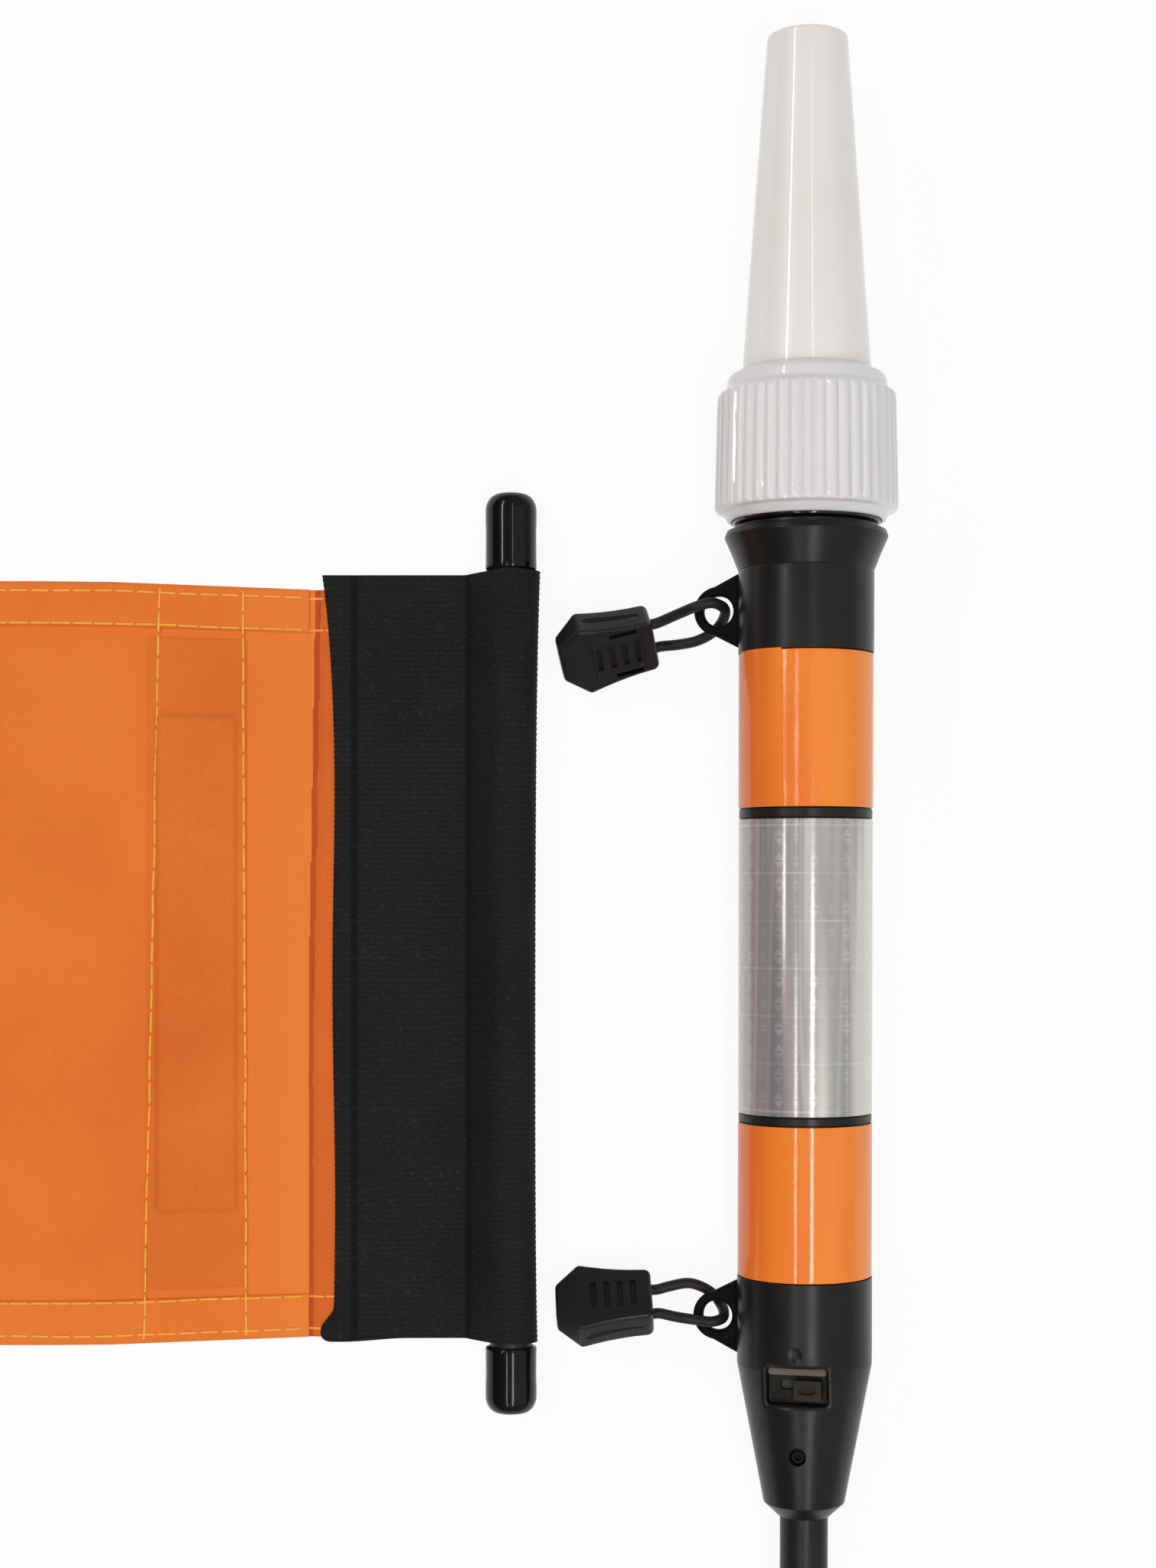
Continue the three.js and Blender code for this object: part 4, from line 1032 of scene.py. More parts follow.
def gripBody(name, loop):
    half = grip["thickness"] / 2
    body = drawn(name + "_grip_body", gripOutline(), -half, half)
    startEdit(body)
    pickAll()
    bpy.ops.mesh.bisect(plane_co=(-grip["shoulder"] * mm, 0, 0), plane_no=(1, 0, 0))
    endEdit()

    def thinned(x, y, z):
        return x, y, z * (grip["tipThin"] if x < 1 - grip["length"] else 1)

    softened(reshaped(body, thinned), grip["edge"], 3, 25)
    long, wide = grip["insert"][:2]
    gap, notchWide = grip["gap"], wide + 2 * grip["notch"]
    recessed(body, "insert_pocket", long + gap, wide + gap, grip["pocketCorner"], grip["insertX"])
    recessed(body, "insert_notch", grip["notchLength"], notchWide, grip["padCorner"], grip["notchX"])
    flare = math.atan2(grip["wide"] - grip["narrow"], grip["shoulder"] - grip["corner"])
    face = grip["narrow"] - (grip["fluteStart"] + grip["corner"]) * math.tan(flare)
    hole = grip["bore"]
    for side in (-1, 1):
        bore = turned("cord_bore", [(hole, -grip["boreDepth"]), (hole, -0.5), (hole + 1, 0.8)], 24)
        combined(body, placed(bore, moveBy(0, side * cordSize["spacing"] / 2, 0) @ turnBy(90, "Y")))
        flute = turned("flute_cutter", grip["flute"], 40)
        place = moveBy(grip["fluteStart"], side * (face + grip["fluteLift"]), 0)
        combined(body, placed(flute, place @ Matrix.Rotation(-side * flare, 4, "Z") @ turnBy(90, "Y")))
    for centre in grooveCentres():
        combined(body, gripGroove("back_groove", centre, grip["backGroove"], -half))
    return smoothed(placed(body, gripPlace(loop)), 28, True)


def gripPad(name, loop):
    half = grip["thickness"] / 2
    long, wide, deep = grip["insert"]
    outline = shifted(roundedBox(long, wide, grip["padCorner"]), grip["insertX"], 0)
    pad = softened(drawn(name + "_grip_pad", outline, half - deep, half), grip["padEdge"], 2, 40)
    for centre in grooveCentres():
        combined(pad, gripGroove("pad_groove", centre, grip["padGroove"], half))
    return smoothed(placed(pad, gripPlace(loop)), 28, True)


# Where a grip groove's floor and walls lie; they take the painted shade
def inGroove(x, y, z):
    half, slack = grip["thickness"] / 2, grip["grooveSlack"]
    deep = half - grip["grooveDepth"] - slack < abs(z) < half - 0.02
    near = any(abs(x - centre) < grip["grooveWidth"] / 2 + slack for centre in grooveCentres())
    return deep and near and abs(y) < grip["grooveReach"]


for name, loop in cordLoops.items():
    body = dressed(gripBody(name, loop), blackPlastic, name + "_pull", [name + "_grip"])
    partDressed(body, grooveShadeBlack, gripPlace(loop), lambda x, y, z: z < 0 and inGroove(x, y, z))
    pad = dressed(gripPad(name, loop), blackPlastic, name + "_pull", [name + "_grip_insert"])
    partDressed(pad, grooveShadeBlack, gripPlace(loop), inGroove)
print("pulls made")


# Finishes of the banner: a plain weave, which each cloth may change a little; the weave's low places are
# painted darker, as shade between the threads
plainWeave = {"pitch": 0.62, "strength": 0.4, "depth": 0.12, "roughness": 0.72, "contrast": 0.42}


def clothFinish(name, tones, **changes):
    weave = {**plainWeave, **changes}
    sockets = {"Sheen Weight": 0.04, "Sheen Roughness": 0.5, "Specular IOR Level": 0.2}
    material, tree, shader, place = newMaterial(name, sockets)
    parts = addNode(tree, "ShaderNodeSeparateXYZ", {0: stretched(tree, place, (1000, 1000, 1000))})
    turnRate = 2 * math.pi / weave["pitch"]
    warp = calculated(tree, "SINE", times(tree, parts.outputs["X"], turnRate))
    weft = calculated(tree, "SINE", times(tree, parts.outputs["Y"], turnRate))
    crossing = times(tree, warp, weft)
    fuzz = speckle(tree, place, 1500, 2)
    height = plus(tree, times(tree, crossing, 0.5), fuzz)
    cloud = speckle(tree, place, 15, 4)
    mixed = blendOf(tree, mapped(tree, cloud, 0.3, 0.7, 0, 1), linear(*tones[0]), linear(*tones[1]))
    # Painted shade: the weave's low places take the darker third tone, as shade between the threads
    paintedWeaveShade = mapped(tree, height, 0, 1.1, weave["contrast"], 0)
    mixed = blendOf(tree, paintedWeaveShade, mixed, linear(*tones[2]))
    if "paler" in weave:
        start, end, tone = weave["paler"]
        outward = minus(tree, parts.outputs["X"], middleOf("banner_panel").x / mm)
        outward = absolute(tree, outward)
        mixed = blendOf(tree, mapped(tree, outward, start, end, 0, 1), mixed, linear(*tone))
    tree.links.new(mixed, shader.inputs["Base Color"])
    shader.inputs["Roughness"].default_value = weave["roughness"]
    soft = bumped(tree, speckle(tree, place, 45, 4), 0.5, 0.9)
    tree.links.new(bumped(tree, height, weave["strength"], weave["depth"], soft), shader.inputs["Normal"])
    return material


orangeCloth = clothFinish(
    "orange_cloth", [(245, 134, 51), (233, 119, 43), (188, 84, 26)],
    paler=(180, 206, (234, 127, 51)),
)
pocketCloth = clothFinish(
    "pocket_cloth", [(242, 132, 50), (226, 114, 40), (182, 81, 25)],
    strength=0.5, depth=0.14, contrast=0.5,
)
# Painted shade: the crease strip is a darker copy of the orange cloth
shadedCreaseCloth = clothFinish("shaded_crease_cloth", [(232, 114, 44), (220, 104, 38), (174, 78, 25)], roughness=0.75)
# Painted shadow along the fold line, darker still
foldShadowCloth = clothFinish("fold_shadow_cloth", [(206, 86, 30), (194, 78, 26), (152, 60, 17)], roughness=0.75)


# Webbing: woven ribs across it, uneven, with painted shade in the valleys between the ribs and pale flecks
# painted as glints
def webbingFinish(name, tones):
    material, tree, shader, place = newMaterial(name, {"Roughness": 0.8, "Specular IOR Level": 0.2})
    parts = addNode(tree, "ShaderNodeSeparateXYZ", {0: place})
    stray = times(tree, speckle(tree, place, 260, 3), 4)
    turns = times(tree, parts.outputs["Y"], 1000 * math.pi / sleeve["ribPitch"])
    rib = absolute(tree, calculated(tree, "SINE", plus(tree, turns, stray)))
    fuzz = speckle(tree, place, 900, 3, 0.7)
    height = plus(tree, times(tree, rib, 0.8), fuzz)
    cloud = speckle(tree, place, 30, 3)
    mixed = blendOf(tree, mapped(tree, cloud, 0.35, 0.65, 0, 1), linear(*tones[0]), linear(*tones[1]))
    # Painted shade: the valleys between the ribs take the darkest tone
    mixed = blendOf(tree, mapped(tree, height, 0.4, 1.1, 0.5, 0), mixed, linear(*tones[2]))
    # Painted glints: pale flecks where the fuzz is high
    mixed = blendOf(tree, mapped(tree, fuzz, 0.58, 0.72, 0, 0.6), mixed, linear(*tones[3]))
    tree.links.new(mixed, shader.inputs["Base Color"])
    tree.links.new(bumped(tree, height, 0.8, 0.3), shader.inputs["Normal"])
    return material


goldThread = mouldedFinish(
    "gold_thread", [(238, 158, 38), (244, 172, 54), (248, 190, 84)], (0.45, 0.6), (2200, 0.5, 0.15),
)
blackThread = mouldedFinish(
    "black_thread", [(10, 10, 11), (16, 16, 17), (26, 26, 28)], (0.6, 0.75), (2200, 0.5, 0.15), 0.15,
)
capVinyl = mouldedFinish(
    "cap_vinyl", [(8, 8, 9), (12, 11, 12), (20, 20, 21)], (0.14, 0.22), (260, 0.1, 0.04), 0.15,
    {"Coat Weight": 0.25, "Coat Roughness": 0.06},
)

# Banner: panel, pockets, creases, sleeves, rods and caps, measured from the banner's middle
banner = {
    "rodX": 280, "rodHeight": 8.7, "panelEnd": 213.05, "middleHalf": 130.5, "endHalf": 127.75, "endLength": 70,
    "cloth": 0.8, "hem": 15, "hemThick": 1.6, "seam": 210.6, "columns": 150,
}
bannerMiddle = middleOf("banner_panel")
bannerMiddle.z = 0
endPlaces = {
    "near": Matrix.Translation(bannerMiddle),
    "far": Matrix.Translation(bannerMiddle) @ turnBy(180, "Z"),
}


def halfHeight(x):
    share = max(abs(x) - (banner["panelEnd"] - banner["endLength"]), 0) / banner["endLength"]
    return banner["middleHalf"] + (banner["endHalf"] - banner["middleHalf"]) * min(share, 1)


# The cloth lies in shallow waves between the two stiffened strips: each has a height and its spans in x and y
waves = {"swell": (1.7, 46, 150), "ripple": (0.5, 17, 90), "skew": 0.004, "calm": (118, 150)}


def wave(x, y):
    high, long, tall = waves["swell"]
    swell = 0.5 + 0.5 * noise.noise(Vector((x / long, y / tall, 2.3)))
    fine, short, reach = waves["ripple"]
    ripple = 0.5 + 0.5 * noise.noise(Vector((x / short + waves["skew"] * y, y / reach, 7.1)))
    return (1 - ease(abs(x), *waves["calm"])) * (high * swell + fine * ripple)


def draped(piece):
    return reshaped(piece, lambda x, y, z: (x, y * halfHeight(x) / banner["middleHalf"], z + wave(x, y)))


def bannerPanel():
    half, hem, cloth, thick = banner["middleHalf"], banner["hem"], banner["cloth"], banner["hemThick"]
    field = half - hem
    low = [(-half + half * 2 * i / 60, 0) for i in range(61)]
    side = [(half + 0.02, 0.2), (half + 0.1, 0.8), (half + 0.02, 1.4), (half - 0.2, thick)]
    side += [(half - 1.4, thick + 0.04), (half - 3, thick - 0.06), (half - 5, thick + 0.03)]
    side += [(half - 8.5, thick), (half - 12.6, thick), (half - 14, thick - 0.08), (half - 14.8, thick - 0.02)]
    side += [(field, thick - 0.25), (field - 0.06, cloth + 0.05), (field - 0.8, cloth)]
    middle = [(field - 4 - (field - 4) * 2 * i / 54, cloth) for i in range(55)]
    section = low[:-1] + side + middle + [(-y, z) for y, z in reversed(side)]
    piece = outlined("panel_cloth", [(0, y, z) for y, z in section])
    reach = 2 * banner["seam"] * mm
    bpy.ops.mesh.delete(type="ONLY_FACE")
    pickAll()
    bpy.ops.mesh.extrude_repeat(steps=banner["columns"], offset=(reach / banner["columns"], 0, 0))
    endEdit()
    placed(piece, moveBy(-banner["seam"], 0, 0))
    for end in (-1, 1):
        startPicked(piece, lambda x, y, z: abs(x - end * banner["seam"]) < 0.01)
        bpy.ops.mesh.edge_face_add()
        endEdit()
    closeUp(piece)
    draped(piece)
    return smoothed(placed(piece, endPlaces["near"]), 45)


pocket = {
    "net": (44, 220), "left": 155.2, "right": 189, "half": 112, "cloth": 0.5, "lift": 0.06,
    "sheet": (160.1, 184.1, 84), "rise": 1.6, "slope": 2.4, "inside": 0.3, "edge": 1.5,
    "foldHalf": 1.3, "foldRise": 0.4, "pucker": 0.12, "puckerSpan": (9, 30),
    "folds": [
        ((157, 79), (163, 82)), ((163, 82), (186, 81)), ((158, 61.5), (168, 63.5)), ((168, 63.5), (182.5, 70)),
        ((157, -82.5), (181, -83.5)),
    ],
}


def fromSegment(x, y, start, end):
    reach = Vector(end) - Vector(start)
    share = min(max((Vector((x, y)) - Vector(start)).dot(reach) / reach.length_squared, 0), 1)
    return (Vector((x, y)) - Vector(start) - reach * share).length


# Top of the strip's cloth over its stiffener, with a few sharp folds
def pocketRise(x, y):
    left, right, slope, inside = pocket["left"], pocket["right"], pocket["slope"], pocket["inside"]
    sheetLeft, sheetRight, sheetHalf = pocket["sheet"]
    across = ease(x, sheetLeft - slope, sheetLeft - inside)
    across *= 1 - ease(x, sheetRight + inside, sheetRight + slope)
    along = 1 - ease(abs(y), sheetHalf + inside, sheetHalf + slope)
    edge = ease(x, left, left + pocket["edge"]) * (1 - ease(x, right - pocket["edge"], right))
    near = (1 - fromSegment(x, y, start, end) / pocket["foldHalf"] for start, end in pocket["folds"])
    long, tall = pocket["puckerSpan"]
    pull = pocket["pucker"] * noise.noise(Vector((x / long, y / tall, 4.2)))
    pull += pocket["foldRise"] * max(0, *near)
    return max(pocket["rise"] * across * along + pull * edge, 0)


# A flat net of squares between two x values, as long to either side
def clothNet(name, left, right, half, columns, rows):
    clearSelection()
    middle = ((left + right) / 2 * mm, 0, 0)
    bpy.ops.mesh.primitive_grid_add(x_subdivisions=columns, y_subdivisions=rows, size=1, location=middle)
    piece = added(name)
    piece.scale = ((right - left) * mm, 2 * half * mm, 1)
    return settled(piece)


def pocketStrip(name):
    piece = clothNet(name + "_strip", pocket["left"], pocket["right"], pocket["half"], *pocket["net"])
    reshaped(piece, lambda x, y, z: (x, y, banner["cloth"] + pocket["lift"] + pocketRise(x, y)))
    shaped(piece, "SOLIDIFY", thickness=pocket["cloth"] * mm, offset=1)
    draped(piece)
    return smoothed(placed(piece, endPlaces[name]), 60)


def declared(piece):
    return piece


panel = dressed(bannerPanel(), orangeCloth, "banner", ["banner_panel"])
for name in endPlaces:
    strip = dressed(pocketStrip(name), pocketCloth, "banner", [name + "_pocket"])
    declared(strip)
print("panel and pocket strips made")

crease = {
    "from": 210.6, "to": 229.2, "half": 127.75, "cloth": 0.8, "tabMiddle": 1.4,
    "fold": 211.6, "foldSlant": 0.0165, "foldLeast": 211, "line": 0.95, "start": 210.8, "end": 215.8,
    "net": (44, 170), "low": 0.4, "climb": 3.4, "dip": 0.55, "pucker": 0.3, "puckerSpan": (3.1, 5.5),
}


# Where the cloth folds down to the sleeve, a little askew
def foldAt(y):
    return max(crease["fold"] + crease["foldSlant"] * y, crease["foldLeast"])


def creaseHeight(x, y):
    low, fold = crease["low"], foldAt(y)
    climb = ease(x, fold, fold + crease["climb"])
    dip = math.exp(-((x - fold) / crease["dip"]) ** 2)
    long, tall = crease["puckerSpan"]
    pucker = noise.noise(Vector((x / long, y / tall, 1.7))) * crease["pucker"] * dip
    return max(low + (crease["tabMiddle"] - low) * climb + pucker * (1 - climb), low)


def creaseStrip(name):
    piece = clothNet(name + "_crease", crease["from"], crease["to"], crease["half"], *crease["net"])

    def fitted(x, y, z):
        return x, y * halfHeight(min(x, banner["panelEnd"])) / banner["endHalf"], creaseHeight(x, y)

    reshaped(piece, fitted)
    shaped(piece, "SOLIDIFY", thickness=crease["cloth"] * mm, offset=0)
    return smoothed(placed(piece, endPlaces[name]), 60)


sleeve = {
    "length": 262, "shift": 1.6, "left": -63.55, "seam": -16.05, "thick": 2.8, "wall": 0.72, "slotEnd": -50.05,
    "outer": 8.25, "inner": 7.45, "rows": 286, "rib": 0.2, "ribPitch": 1.832,
    "seams": (-53.8, -15), "groove": 0.45, "seamHalf": 1.3, "upperSide": 1.6,
    # The left edge's lean and flares, its low corner and the slack round the rod: size first, then reach
    "lean": 2.7, "sway": (0.45, 65, 75), "topFlare": (3.6, 25), "lowFlare": (4.4, 250, 258), "leanEnd": -54.5,
    "corner": 3.2, "runUp": (1.3, -58, -35), "looseTop": (1.7, 45), "looseLow": (0.8, 30), "looseFrom": (-2, 7),
    "lowEdge": 12,
}

blackWebbing = webbingFinish("black_webbing", [(23, 23, 24), (29, 28, 30), (9, 9, 10), (58, 57, 59)])
seamWebbing = webbingFinish("seam_webbing", [(13, 13, 14), (18, 17, 19), (5, 5, 6), (40, 39, 41)])


# How far the sleeve's left edge stands in from its widest place; it flares at both ends
def sleeveLean(x, y):
    down = sleeve["length"] / 2 + sleeve["shift"] - y
    sway, swayFrom, swayHalf = sleeve["sway"]
    lean = sleeve["lean"] + sway * math.cos((down - swayFrom) / swayHalf * math.pi)
    flare, flareReach = sleeve["topFlare"]
    lowFlare, lowStart, lowEnd = sleeve["lowFlare"]
    lean -= flare * math.exp(-down / flareReach) + lowFlare * ease(down, lowStart, lowEnd)
    return lean * (1 - ease(x, sleeve["left"], sleeve["leanEnd"]))


# The sleeve's lower edge is rounded at its left corner and runs a little upwards
def cornerLift(x):
    corner = sleeve["corner"]
    inward = min(max(x - sleeve["left"], 0), corner)
    rise, start, end = sleeve["runUp"]
    return corner - math.sqrt(corner ** 2 - (corner - inward) ** 2) + rise * ease(x, start, end)


def loopAngle(x, z, radius):
    drop = banner["rodHeight"] - z
    return (math.pi + math.atan2(drop, -x) - math.acos(radius / math.hypot(x, drop))) / degree


def loopArc(radius, start, end, steps):
    if end < start:
        end += 360
    return arc(0, banner["rodHeight"], radius, start, end, steps)


def sleeveSections():
    left, seam, thick, wall, slotEnd = (sleeve[key] for key in ("left", "seam", "thick", "wall", "slotEnd"))
    outer, inner = sleeve["outer"], sleeve["inner"]
    top = loopAngle(seam, thick, outer)
    outside = straight((left + 0.35, 0), (0, 0), 24)
    outside += loopArc(outer, -45, top, 36)
    outside += straight(outside[-1], (seam, thick), 10)[1:]
    outside += straight((seam, thick), (seam - 4, thick), 5) + straight((seam - 4, thick), (-50.2, thick), 12)
    outside += straight((-50.2, thick), (left + 0.35, thick), 18) + [(left + 0.35, thick), (left, thick - 0.3)]
    outside += [(left, thick - wall), (slotEnd, thick - wall), (slotEnd, wall), (left, wall), (left, 0.3)]
    seamInside = seam + thick
    low = banner["cloth"] + 0.3
    start = loopAngle(seamInside, low, inner)
    inside = straight((-4, low), (seamInside, low), 6) + [(seamInside, low)]
    inside += reversed(loopArc(inner, 270, start + 360, 30))
    return outside, inside


def sleeveTube(name):
    loops = []
    for number, section in enumerate(sleeveSections()):
        part = outlined(name + "_loop" + str(number), [(x, 0, z) for x, z in section])
        bpy.ops.mesh.delete(type="ONLY_FACE")
        endEdit()
        loops.append(settled(part))
    piece = joined(loops, name + "_webbing")
    startEdit(piece)
    pickAll()
    bpy.ops.mesh.extrude_repeat(steps=sleeve["rows"], offset=(0, sleeve["length"] / sleeve["rows"] * mm, 0))
    endEdit()
    for end in (0, sleeve["length"]):
        startPicked(piece, lambda x, y, z: abs(y - end) < 0.01)
        bpy.ops.mesh.fill()
        endEdit()
    closeUp(piece)
    rowPitch = sleeve["length"] / sleeve["rows"]
    normals = [tuple(vertex.normal) for vertex in piece.data.vertices]
    places = [tuple(value / mm for value in vertex.co) for vertex in piece.data.vertices]
    (high, reach), (low, lowReach), last = sleeve["looseTop"], sleeve["looseLow"], sleeve["lowEdge"]
    for vertex, normal, (x, y, z) in zip(piece.data.vertices, normals, places):
        row = round(y / rowPitch)
        inside = math.hypot(x, z - banner["rodHeight"]) < sleeve["inner"] + 0.3
        sink = sleeve["rib"] if row % 2 and not inside and 0 < row < sleeve["rows"] else 0
        for seam in sleeve["seams"]:
            if z > sleeve["upperSide"] and abs(x - seam) < sleeve["seamHalf"]:
                sink += sleeve["groove"] * (1 - abs(x - seam) / sleeve["seamHalf"])
        if z < 0.2:
            sink = min(sink, 0)
        y += sleeve["shift"] - sleeve["length"] / 2
        down = sleeve["length"] / 2 + sleeve["shift"] - y
        loose = high * math.exp(-down / reach) + low * math.exp((down - sleeve["length"]) / lowReach)
        y += max(down - (sleeve["length"] - last), 0) / last * cornerLift(x)
        x += sleeveLean(x, y) + loose * ease(x, *sleeve["looseFrom"]) + banner["rodX"]
        vertex.co = [(x - normal[0] * sink) * mm, y * mm, (z - normal[2] * sink) * mm]
    piece.data.update()
    return smoothed(placed(piece, endPlaces[name]), 50)


def inSeam(x, y, z):
    x -= banner["rodX"]
    near = (abs(x - seam - sleeveLean(seam, y)) < sleeve["seamHalf"] for seam in sleeve["seams"])
    return z > sleeve["upperSide"] and any(near)


# Bakes a crease piece's placement into its mesh
def bendsAtCrease(piece):
    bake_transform(piece)


for name in endPlaces:
    strip = creaseStrip(name)
    # Painted shade: the crease strip is darker than the panel, except left of the fold
    dressed(strip, shadedCreaseCloth, None, [name + "_tab"])
    partDressed(strip, orangeCloth, endPlaces[name], lambda x, y, z: x < foldAt(y) - crease["line"])
    # Painted shadow along the fold line
    partDressed(strip, foldShadowCloth, endPlaces[name], lambda x, y, z: abs(x - foldAt(y)) < crease["line"])
    declared(strip)
    webbing = dressed(sleeveTube(name), blackWebbing, name + "_flap", [name + "_sleeve"])
    partDressed(webbing, seamWebbing, endPlaces[name], inSeam)
    declared(webbing)
    bendsAtCrease(strip)
print("creases and sleeves made")

rods = {"radius": 7.15, "bottom": -150.4, "top": 157}
caps = {
    "radius": 8.7, "inner": 7.45, "lengths": {"bottom": 22.7, "top": 25.9},
    "floor": 2, "dome": 5.6, "flat": 4.2, "rim": 0.8,
}


def rodBar(name):
    bar = turned(name + "_pole_bar", [
        (rods["radius"] - 0.5, rods["bottom"]), (rods["radius"], rods["bottom"] + 0.5),
        (rods["radius"], rods["top"] - 0.5), (rods["radius"] - 0.5, rods["top"]),
    ], 64)
    place = moveBy(banner["rodX"], 0, banner["rodHeight"]) @ turnBy(-90, "X")
    return smoothed(placed(bar, endPlaces[name] @ place))


# A dipped cap: closed dome at height 0, open rim above
def endCap(name, end):
    radius, length, rim, flat = caps["radius"], caps["lengths"][end], caps["rim"], caps["flat"]
    dome = []
    for i in range(9):
        angle = i / 8 * math.pi / 2
        dome.append((flat + (radius - flat) * math.sin(angle), caps["dome"] * (1 - math.cos(angle))))
    outside = [(0.6, 0), (2.4, 0)] + dome
    outside += [(radius, 9), (radius - 0.12, 13), (radius - 0.05, length - 2.2), (radius, length - rim)]
    outside += [(radius - rim * 0.3, length - rim * 0.3), (radius - rim, length)]
    inside = [(caps["inner"], length), (caps["inner"], caps["floor"] - 0.3)]
    cap = turned(name + "_dipped_cap_" + end, outside + inside, 64)
    if end == "bottom":
        along, turn = rods["bottom"] - caps["floor"], -90
    else:
        along, turn = rods["top"] + caps["floor"], 90
    place = moveBy(banner["rodX"], along, banner["rodHeight"]) @ turnBy(turn, "X")
    return smoothed(placed(cap, endPlaces[name] @ place), 50)


for name in endPlaces:
    dressed(rodBar(name), darkSteel, name + "_pole", [name + "_rod"])
    for end in ("bottom", "top"):
        dressed(endCap(name, end), capVinyl, name + "_pole", [name + "_cap_" + end])
print("rods and caps made")

# Stitches: one is modelled, rows of it are arrayed and laid on the cloth
stitch = {
    "width": 0.85, "height": 0.5,
    "hem": (7.2, 6.3), "fold": (7.2, 6.9), "pocket": (8.1, 7.6), "sleeve": (6.4, 4.6),  # pitch, length
    "insets": {"hem": 3, "fold": 14.2}, "pocketLines": ((156.8, 2.6), (188.5, -0.6)), "leanReach": 130,
    "wander": 0.3, "past": 216, "lift": 0.12, "sleeveShort": 6,
}


def wander(along, row):
    return stitch["wander"] * noise.noise(Vector((along / 16, row * 3.7, 0.5)))


def stitchRow(name, reach, kind, along):
    pitch, length = stitch[kind]
    count = round(reach / pitch)
    clearSelection()
    bpy.ops.mesh.primitive_uv_sphere_add(segments=8, ring_count=8, radius=0.5, location=(0, 0, 0))
    row = added(name)
    row.rotation_euler = (0, math.pi / 2, 0)
    settled(row)
    row.scale = (length * mm, stitch["width"] * mm, stitch["height"] * mm)
    settled(row)

    def blunt(x, y, z):
        share = abs(2 * x / length)
        full = 1 / max(math.sqrt(max(1 - share * share, 0)), 0.6)
        return x, y * full, z * full

    reshaped(row, blunt)
    shaped(row, "ARRAY", count=count, use_relative_offset=False, use_constant_offset=True,
           constant_offset_displace=(pitch * mm, 0, 0))
    placed(row, moveBy(-(count - 1) * pitch / 2, 0, 0))
    if along == "Y":
        placed(row, turnBy(90, "Z"))
    return row


def hemRows():
    rows = []
    for side in (-1, 1):
        for kind, inset in stitch["insets"].items():
            row = stitchRow("hem_row", 2 * banner["seam"], kind, "X")
            base = side * (banner["middleHalf"] - inset)

            def laid(x, y, z, base=base):
                return x, base + y + wander(x, base), z + banner["hemThick"] + stitch["lift"]

            rows.append(reshaped(row, laid))
    return rows


def pocketRows():
    rows = []
    for x, lean in stitch["pocketLines"]:
        for end in (1, -1):
            row = stitchRow("pocket_row", 2 * banner["middleHalf"], "pocket", "Y")

            def laid(px, py, pz, x=x, lean=lean, end=end):
                middle = x + lean * py / stitch["leanReach"] + wander(py, x)
                base = banner["cloth"] + pocket["lift"] + pocket["cloth"] + 0.08 + pocketRise(middle, py)
                if abs(py) > banner["middleHalf"] - banner["hem"] - 1.5:
                    base = banner["hemThick"] + stitch["lift"]
                return end * (px + middle), end * py, pz + base

            rows.append(reshaped(row, laid))
    return rows


# The hems' rows run on over the crease and under the sleeve
def creaseRows(name):
    rows = []
    for side in (-1, 1):
        for kind, inset in stitch["insets"].items():
            row = stitchRow("crease_row", 2 * stitch[kind][0], kind, "X")
            base = side * (banner["middleHalf"] - inset) * banner["endHalf"] / banner["middleHalf"]

            def laid(x, y, z, base=base):
                x += stitch["past"]
                return x, base + y + wander(x, base), z + creaseHeight(x, base) + crease["cloth"] / 2 + 0.05

            rows.append(reshaped(row, laid))
    return smoothed(placed(joined(rows, name + "_crease_stitches"), endPlaces[name]), 180)


for name in endPlaces:
    bendsAtCrease(dressed(creaseRows(name), goldThread, None))

goldRows = joined(hemRows() + pocketRows(), "gold_stitches")
draped(goldRows)
dressed(smoothed(placed(goldRows, endPlaces["near"]), 180), goldThread, "banner")
declared(panel)

for name in endPlaces:
    rows = []
    for seam in sleeve["seams"]:
        row = stitchRow("sleeve_row", sleeve["length"] - stitch["sleeveShort"], "sleeve", "Y")

        def sewn(x, y, z, seam=seam):
            y += sleeve["shift"]
            return x + seam + sleeveLean(seam, y) + banner["rodX"], y, z + sleeve["thick"] - 0.3

        rows.append(reshaped(row, sewn))
    seams = joined(rows, name + "_sleeve_stitches")
    dressed(smoothed(placed(seams, endPlaces[name]), 180), blackThread, name + "_flap")
print("stitches made")

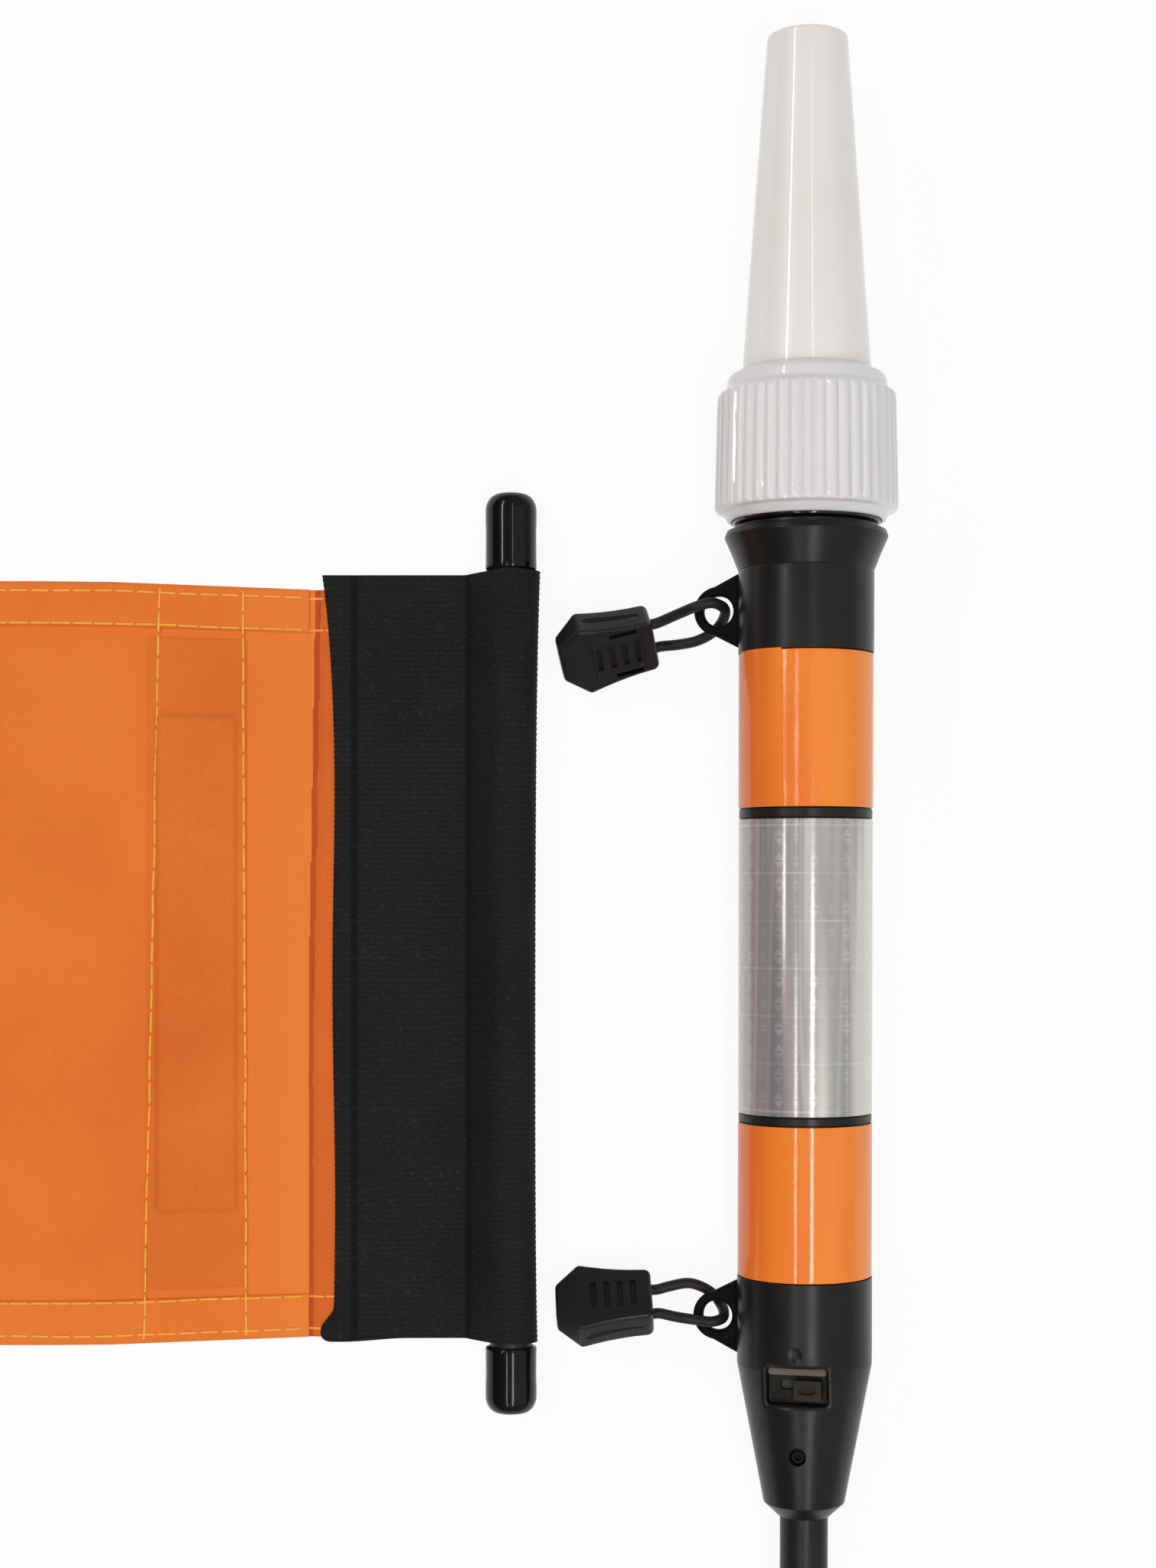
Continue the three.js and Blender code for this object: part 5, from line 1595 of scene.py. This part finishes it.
# Inside nodes keep their shape and get real finishes: tones, gloss and whether it is metal
inner = {
    "switch_body": ("switch_black", [(12, 12, 12), (18, 18, 18), (34, 34, 35)], (0.4, 0.55), 0),
    "battery_sleeve": ("liner_grey", [(92, 90, 86), (106, 103, 98), (130, 126, 120)], (0.5, 0.65), 0),
    "battery_spring": ("spring_steel", [(150, 148, 144), (176, 174, 170), (200, 198, 194)], (0.22, 0.35), 1),
    "battery_1": ("cell_jacket_1", [(58, 72, 86), (64, 79, 94), (96, 108, 120)], (0.28, 0.4), 0),
    "battery_2": ("cell_jacket_2", [(58, 72, 86), (64, 79, 94), (96, 108, 120)], (0.28, 0.4), 0),
    "contact_pin": ("contact_brass", [(196, 160, 88), (214, 178, 104), (232, 200, 130)], (0.22, 0.38), 1),
    "led_board": ("circuit_green", [(42, 98, 64), (50, 110, 72), (80, 138, 100)], (0.4, 0.55), 0),
    "led_emitter": ("emitter_yellow", [(240, 210, 104), (246, 220, 124), (250, 232, 160)], (0.12, 0.2), 0),
    "reflector": ("reflector_chrome", [(206, 206, 210), (220, 220, 224), (236, 236, 238)], (0.08, 0.16), 1),
    "near_stiffener": ("stiffener_near", [(214, 208, 196), (224, 218, 208), (234, 230, 222)], (0.4, 0.55), 0),
    "far_stiffener": ("stiffener_far", [(214, 208, 196), (224, 218, 208), (234, 230, 222)], (0.4, 0.55), 0),
}
for node, (name, tones, gloss, metal) in inner.items():
    finish = mouldedFinish(name, tones, gloss, (700, 0.2, 0.1), 0.5, {"Metallic": metal})
    nodes[node].data.materials.clear()
    nodes[node].data.materials.append(finish)
print("inner finishes set")

# Floor, world that brightens to the right, and studio light: six strips along the post and a soft lamp
studio = {
    "white": 1.0, "floorShade": 0.9,
    "lamps": {  # place, size, power and the point that it faces
        "left_strip": ((-0.98, 1.106, 1.5), (0.08, 1.688), 13.3, (0.32, 1.106, 0)),
        "left_end_strip": ((-0.98, 0.014, 1.5), (0.08, 0.128), 0.96, (0.32, 0.014, 0)),
        "right_strip": ((0.55, -1, 1.9), (0.13, 2), 15.6, (0.32, -1, 0)),
        "thin_strip": ((0.5, 0.75, 1.9), (0.03, 0.9), 1.5, (0.32, 0.75, 0)),
        "short_strip": ((-0.31, -1.05, 1.7), (0.09, 1.9), 7, (0.32, -1.05, 0)),
        "tape_strip": ((-0.31, 0.16, 1.7), (0.05, 0.14), 0.55, (0.32, 0.16, 0)),
        "wide_soft": ((1.5, -0.3, 1.7), (2.4, 2.4), 4.75, (0.2, 0, 0)),
    },
    "warmth": (1, 0.97, 0.93), "world": (0.08, 0.52),
}


# One for rays of the named kinds, nought for others
def rayOf(tree, first, *others):
    rays = addNode(tree, "ShaderNodeLightPath")
    seen = rays.outputs[first]
    for other in others:
        seen = calculated(tree, "MAXIMUM", seen, rays.outputs[other])
    return seen


def emptied(holder):
    holder.use_nodes = True
    holder.node_tree.nodes.clear()
    return holder.node_tree


floorTree = emptied(floor.data.materials[0])
seen = rayOf(floorTree, "Is Camera Ray", "Is Glossy Ray", "Is Transmission Ray")
diffuse = addNode(floorTree, "ShaderNodeBsdfDiffuse", {"Color": (0.9, 0.9, 0.9, 1)})
glow = addNode(floorTree, "ShaderNodeEmission", {"Color": (1, 1, 1, 1), "Strength": studio["white"]})
share = calculated(floorTree, "MULTIPLY", seen, studio["floorShade"])
mixedFloor = addNode(floorTree, "ShaderNodeMixShader", {0: share, 1: diffuse.outputs[0], 2: glow.outputs[0]})
addNode(floorTree, "ShaderNodeOutputMaterial", {"Surface": mixedFloor.outputs[0]})

world = bpy.data.worlds.new("studio")
bpy.context.scene.world = world
worldTree = emptied(world)
worldSeen = rayOf(worldTree, "Is Camera Ray", "Is Transmission Ray")
around = addNode(worldTree, "ShaderNodeTexCoord").outputs["Generated"]
heading = addNode(worldTree, "ShaderNodeSeparateXYZ", {0: around})
fromLeft = mapped(worldTree, heading.outputs["X"], -1, 1, *studio["world"])
dim = addNode(worldTree, "ShaderNodeBackground", {"Color": (1, 1, 1, 1), "Strength": fromLeft})
white = addNode(worldTree, "ShaderNodeBackground", {"Color": (1, 1, 1, 1), "Strength": studio["white"]})
worldMix = addNode(worldTree, "ShaderNodeMixShader", {0: worldSeen, 1: dim.outputs[0], 2: white.outputs[0]})
addNode(worldTree, "ShaderNodeOutputWorld", {"Surface": worldMix.outputs[0]})

for name, (place, size, power, aim) in studio["lamps"].items():
    away = (Vector(place) - Vector(aim)).normalized()
    side = Vector((0, 1, 0)).cross(away).normalized()
    turn = Matrix((side, away.cross(side), away)).transposed().to_euler()
    clearSelection()
    bpy.ops.object.light_add(type="AREA", location=place, rotation=turn)
    light = bpy.context.object
    light.name = name
    light.data.shape = "RECTANGLE"
    light.data.size, light.data.size_y = size
    light.data.energy = power
    light.data.color = studio["warmth"]

bpy.context.scene.view_settings.view_transform = "Standard"
print("studio set")

clearSelection()
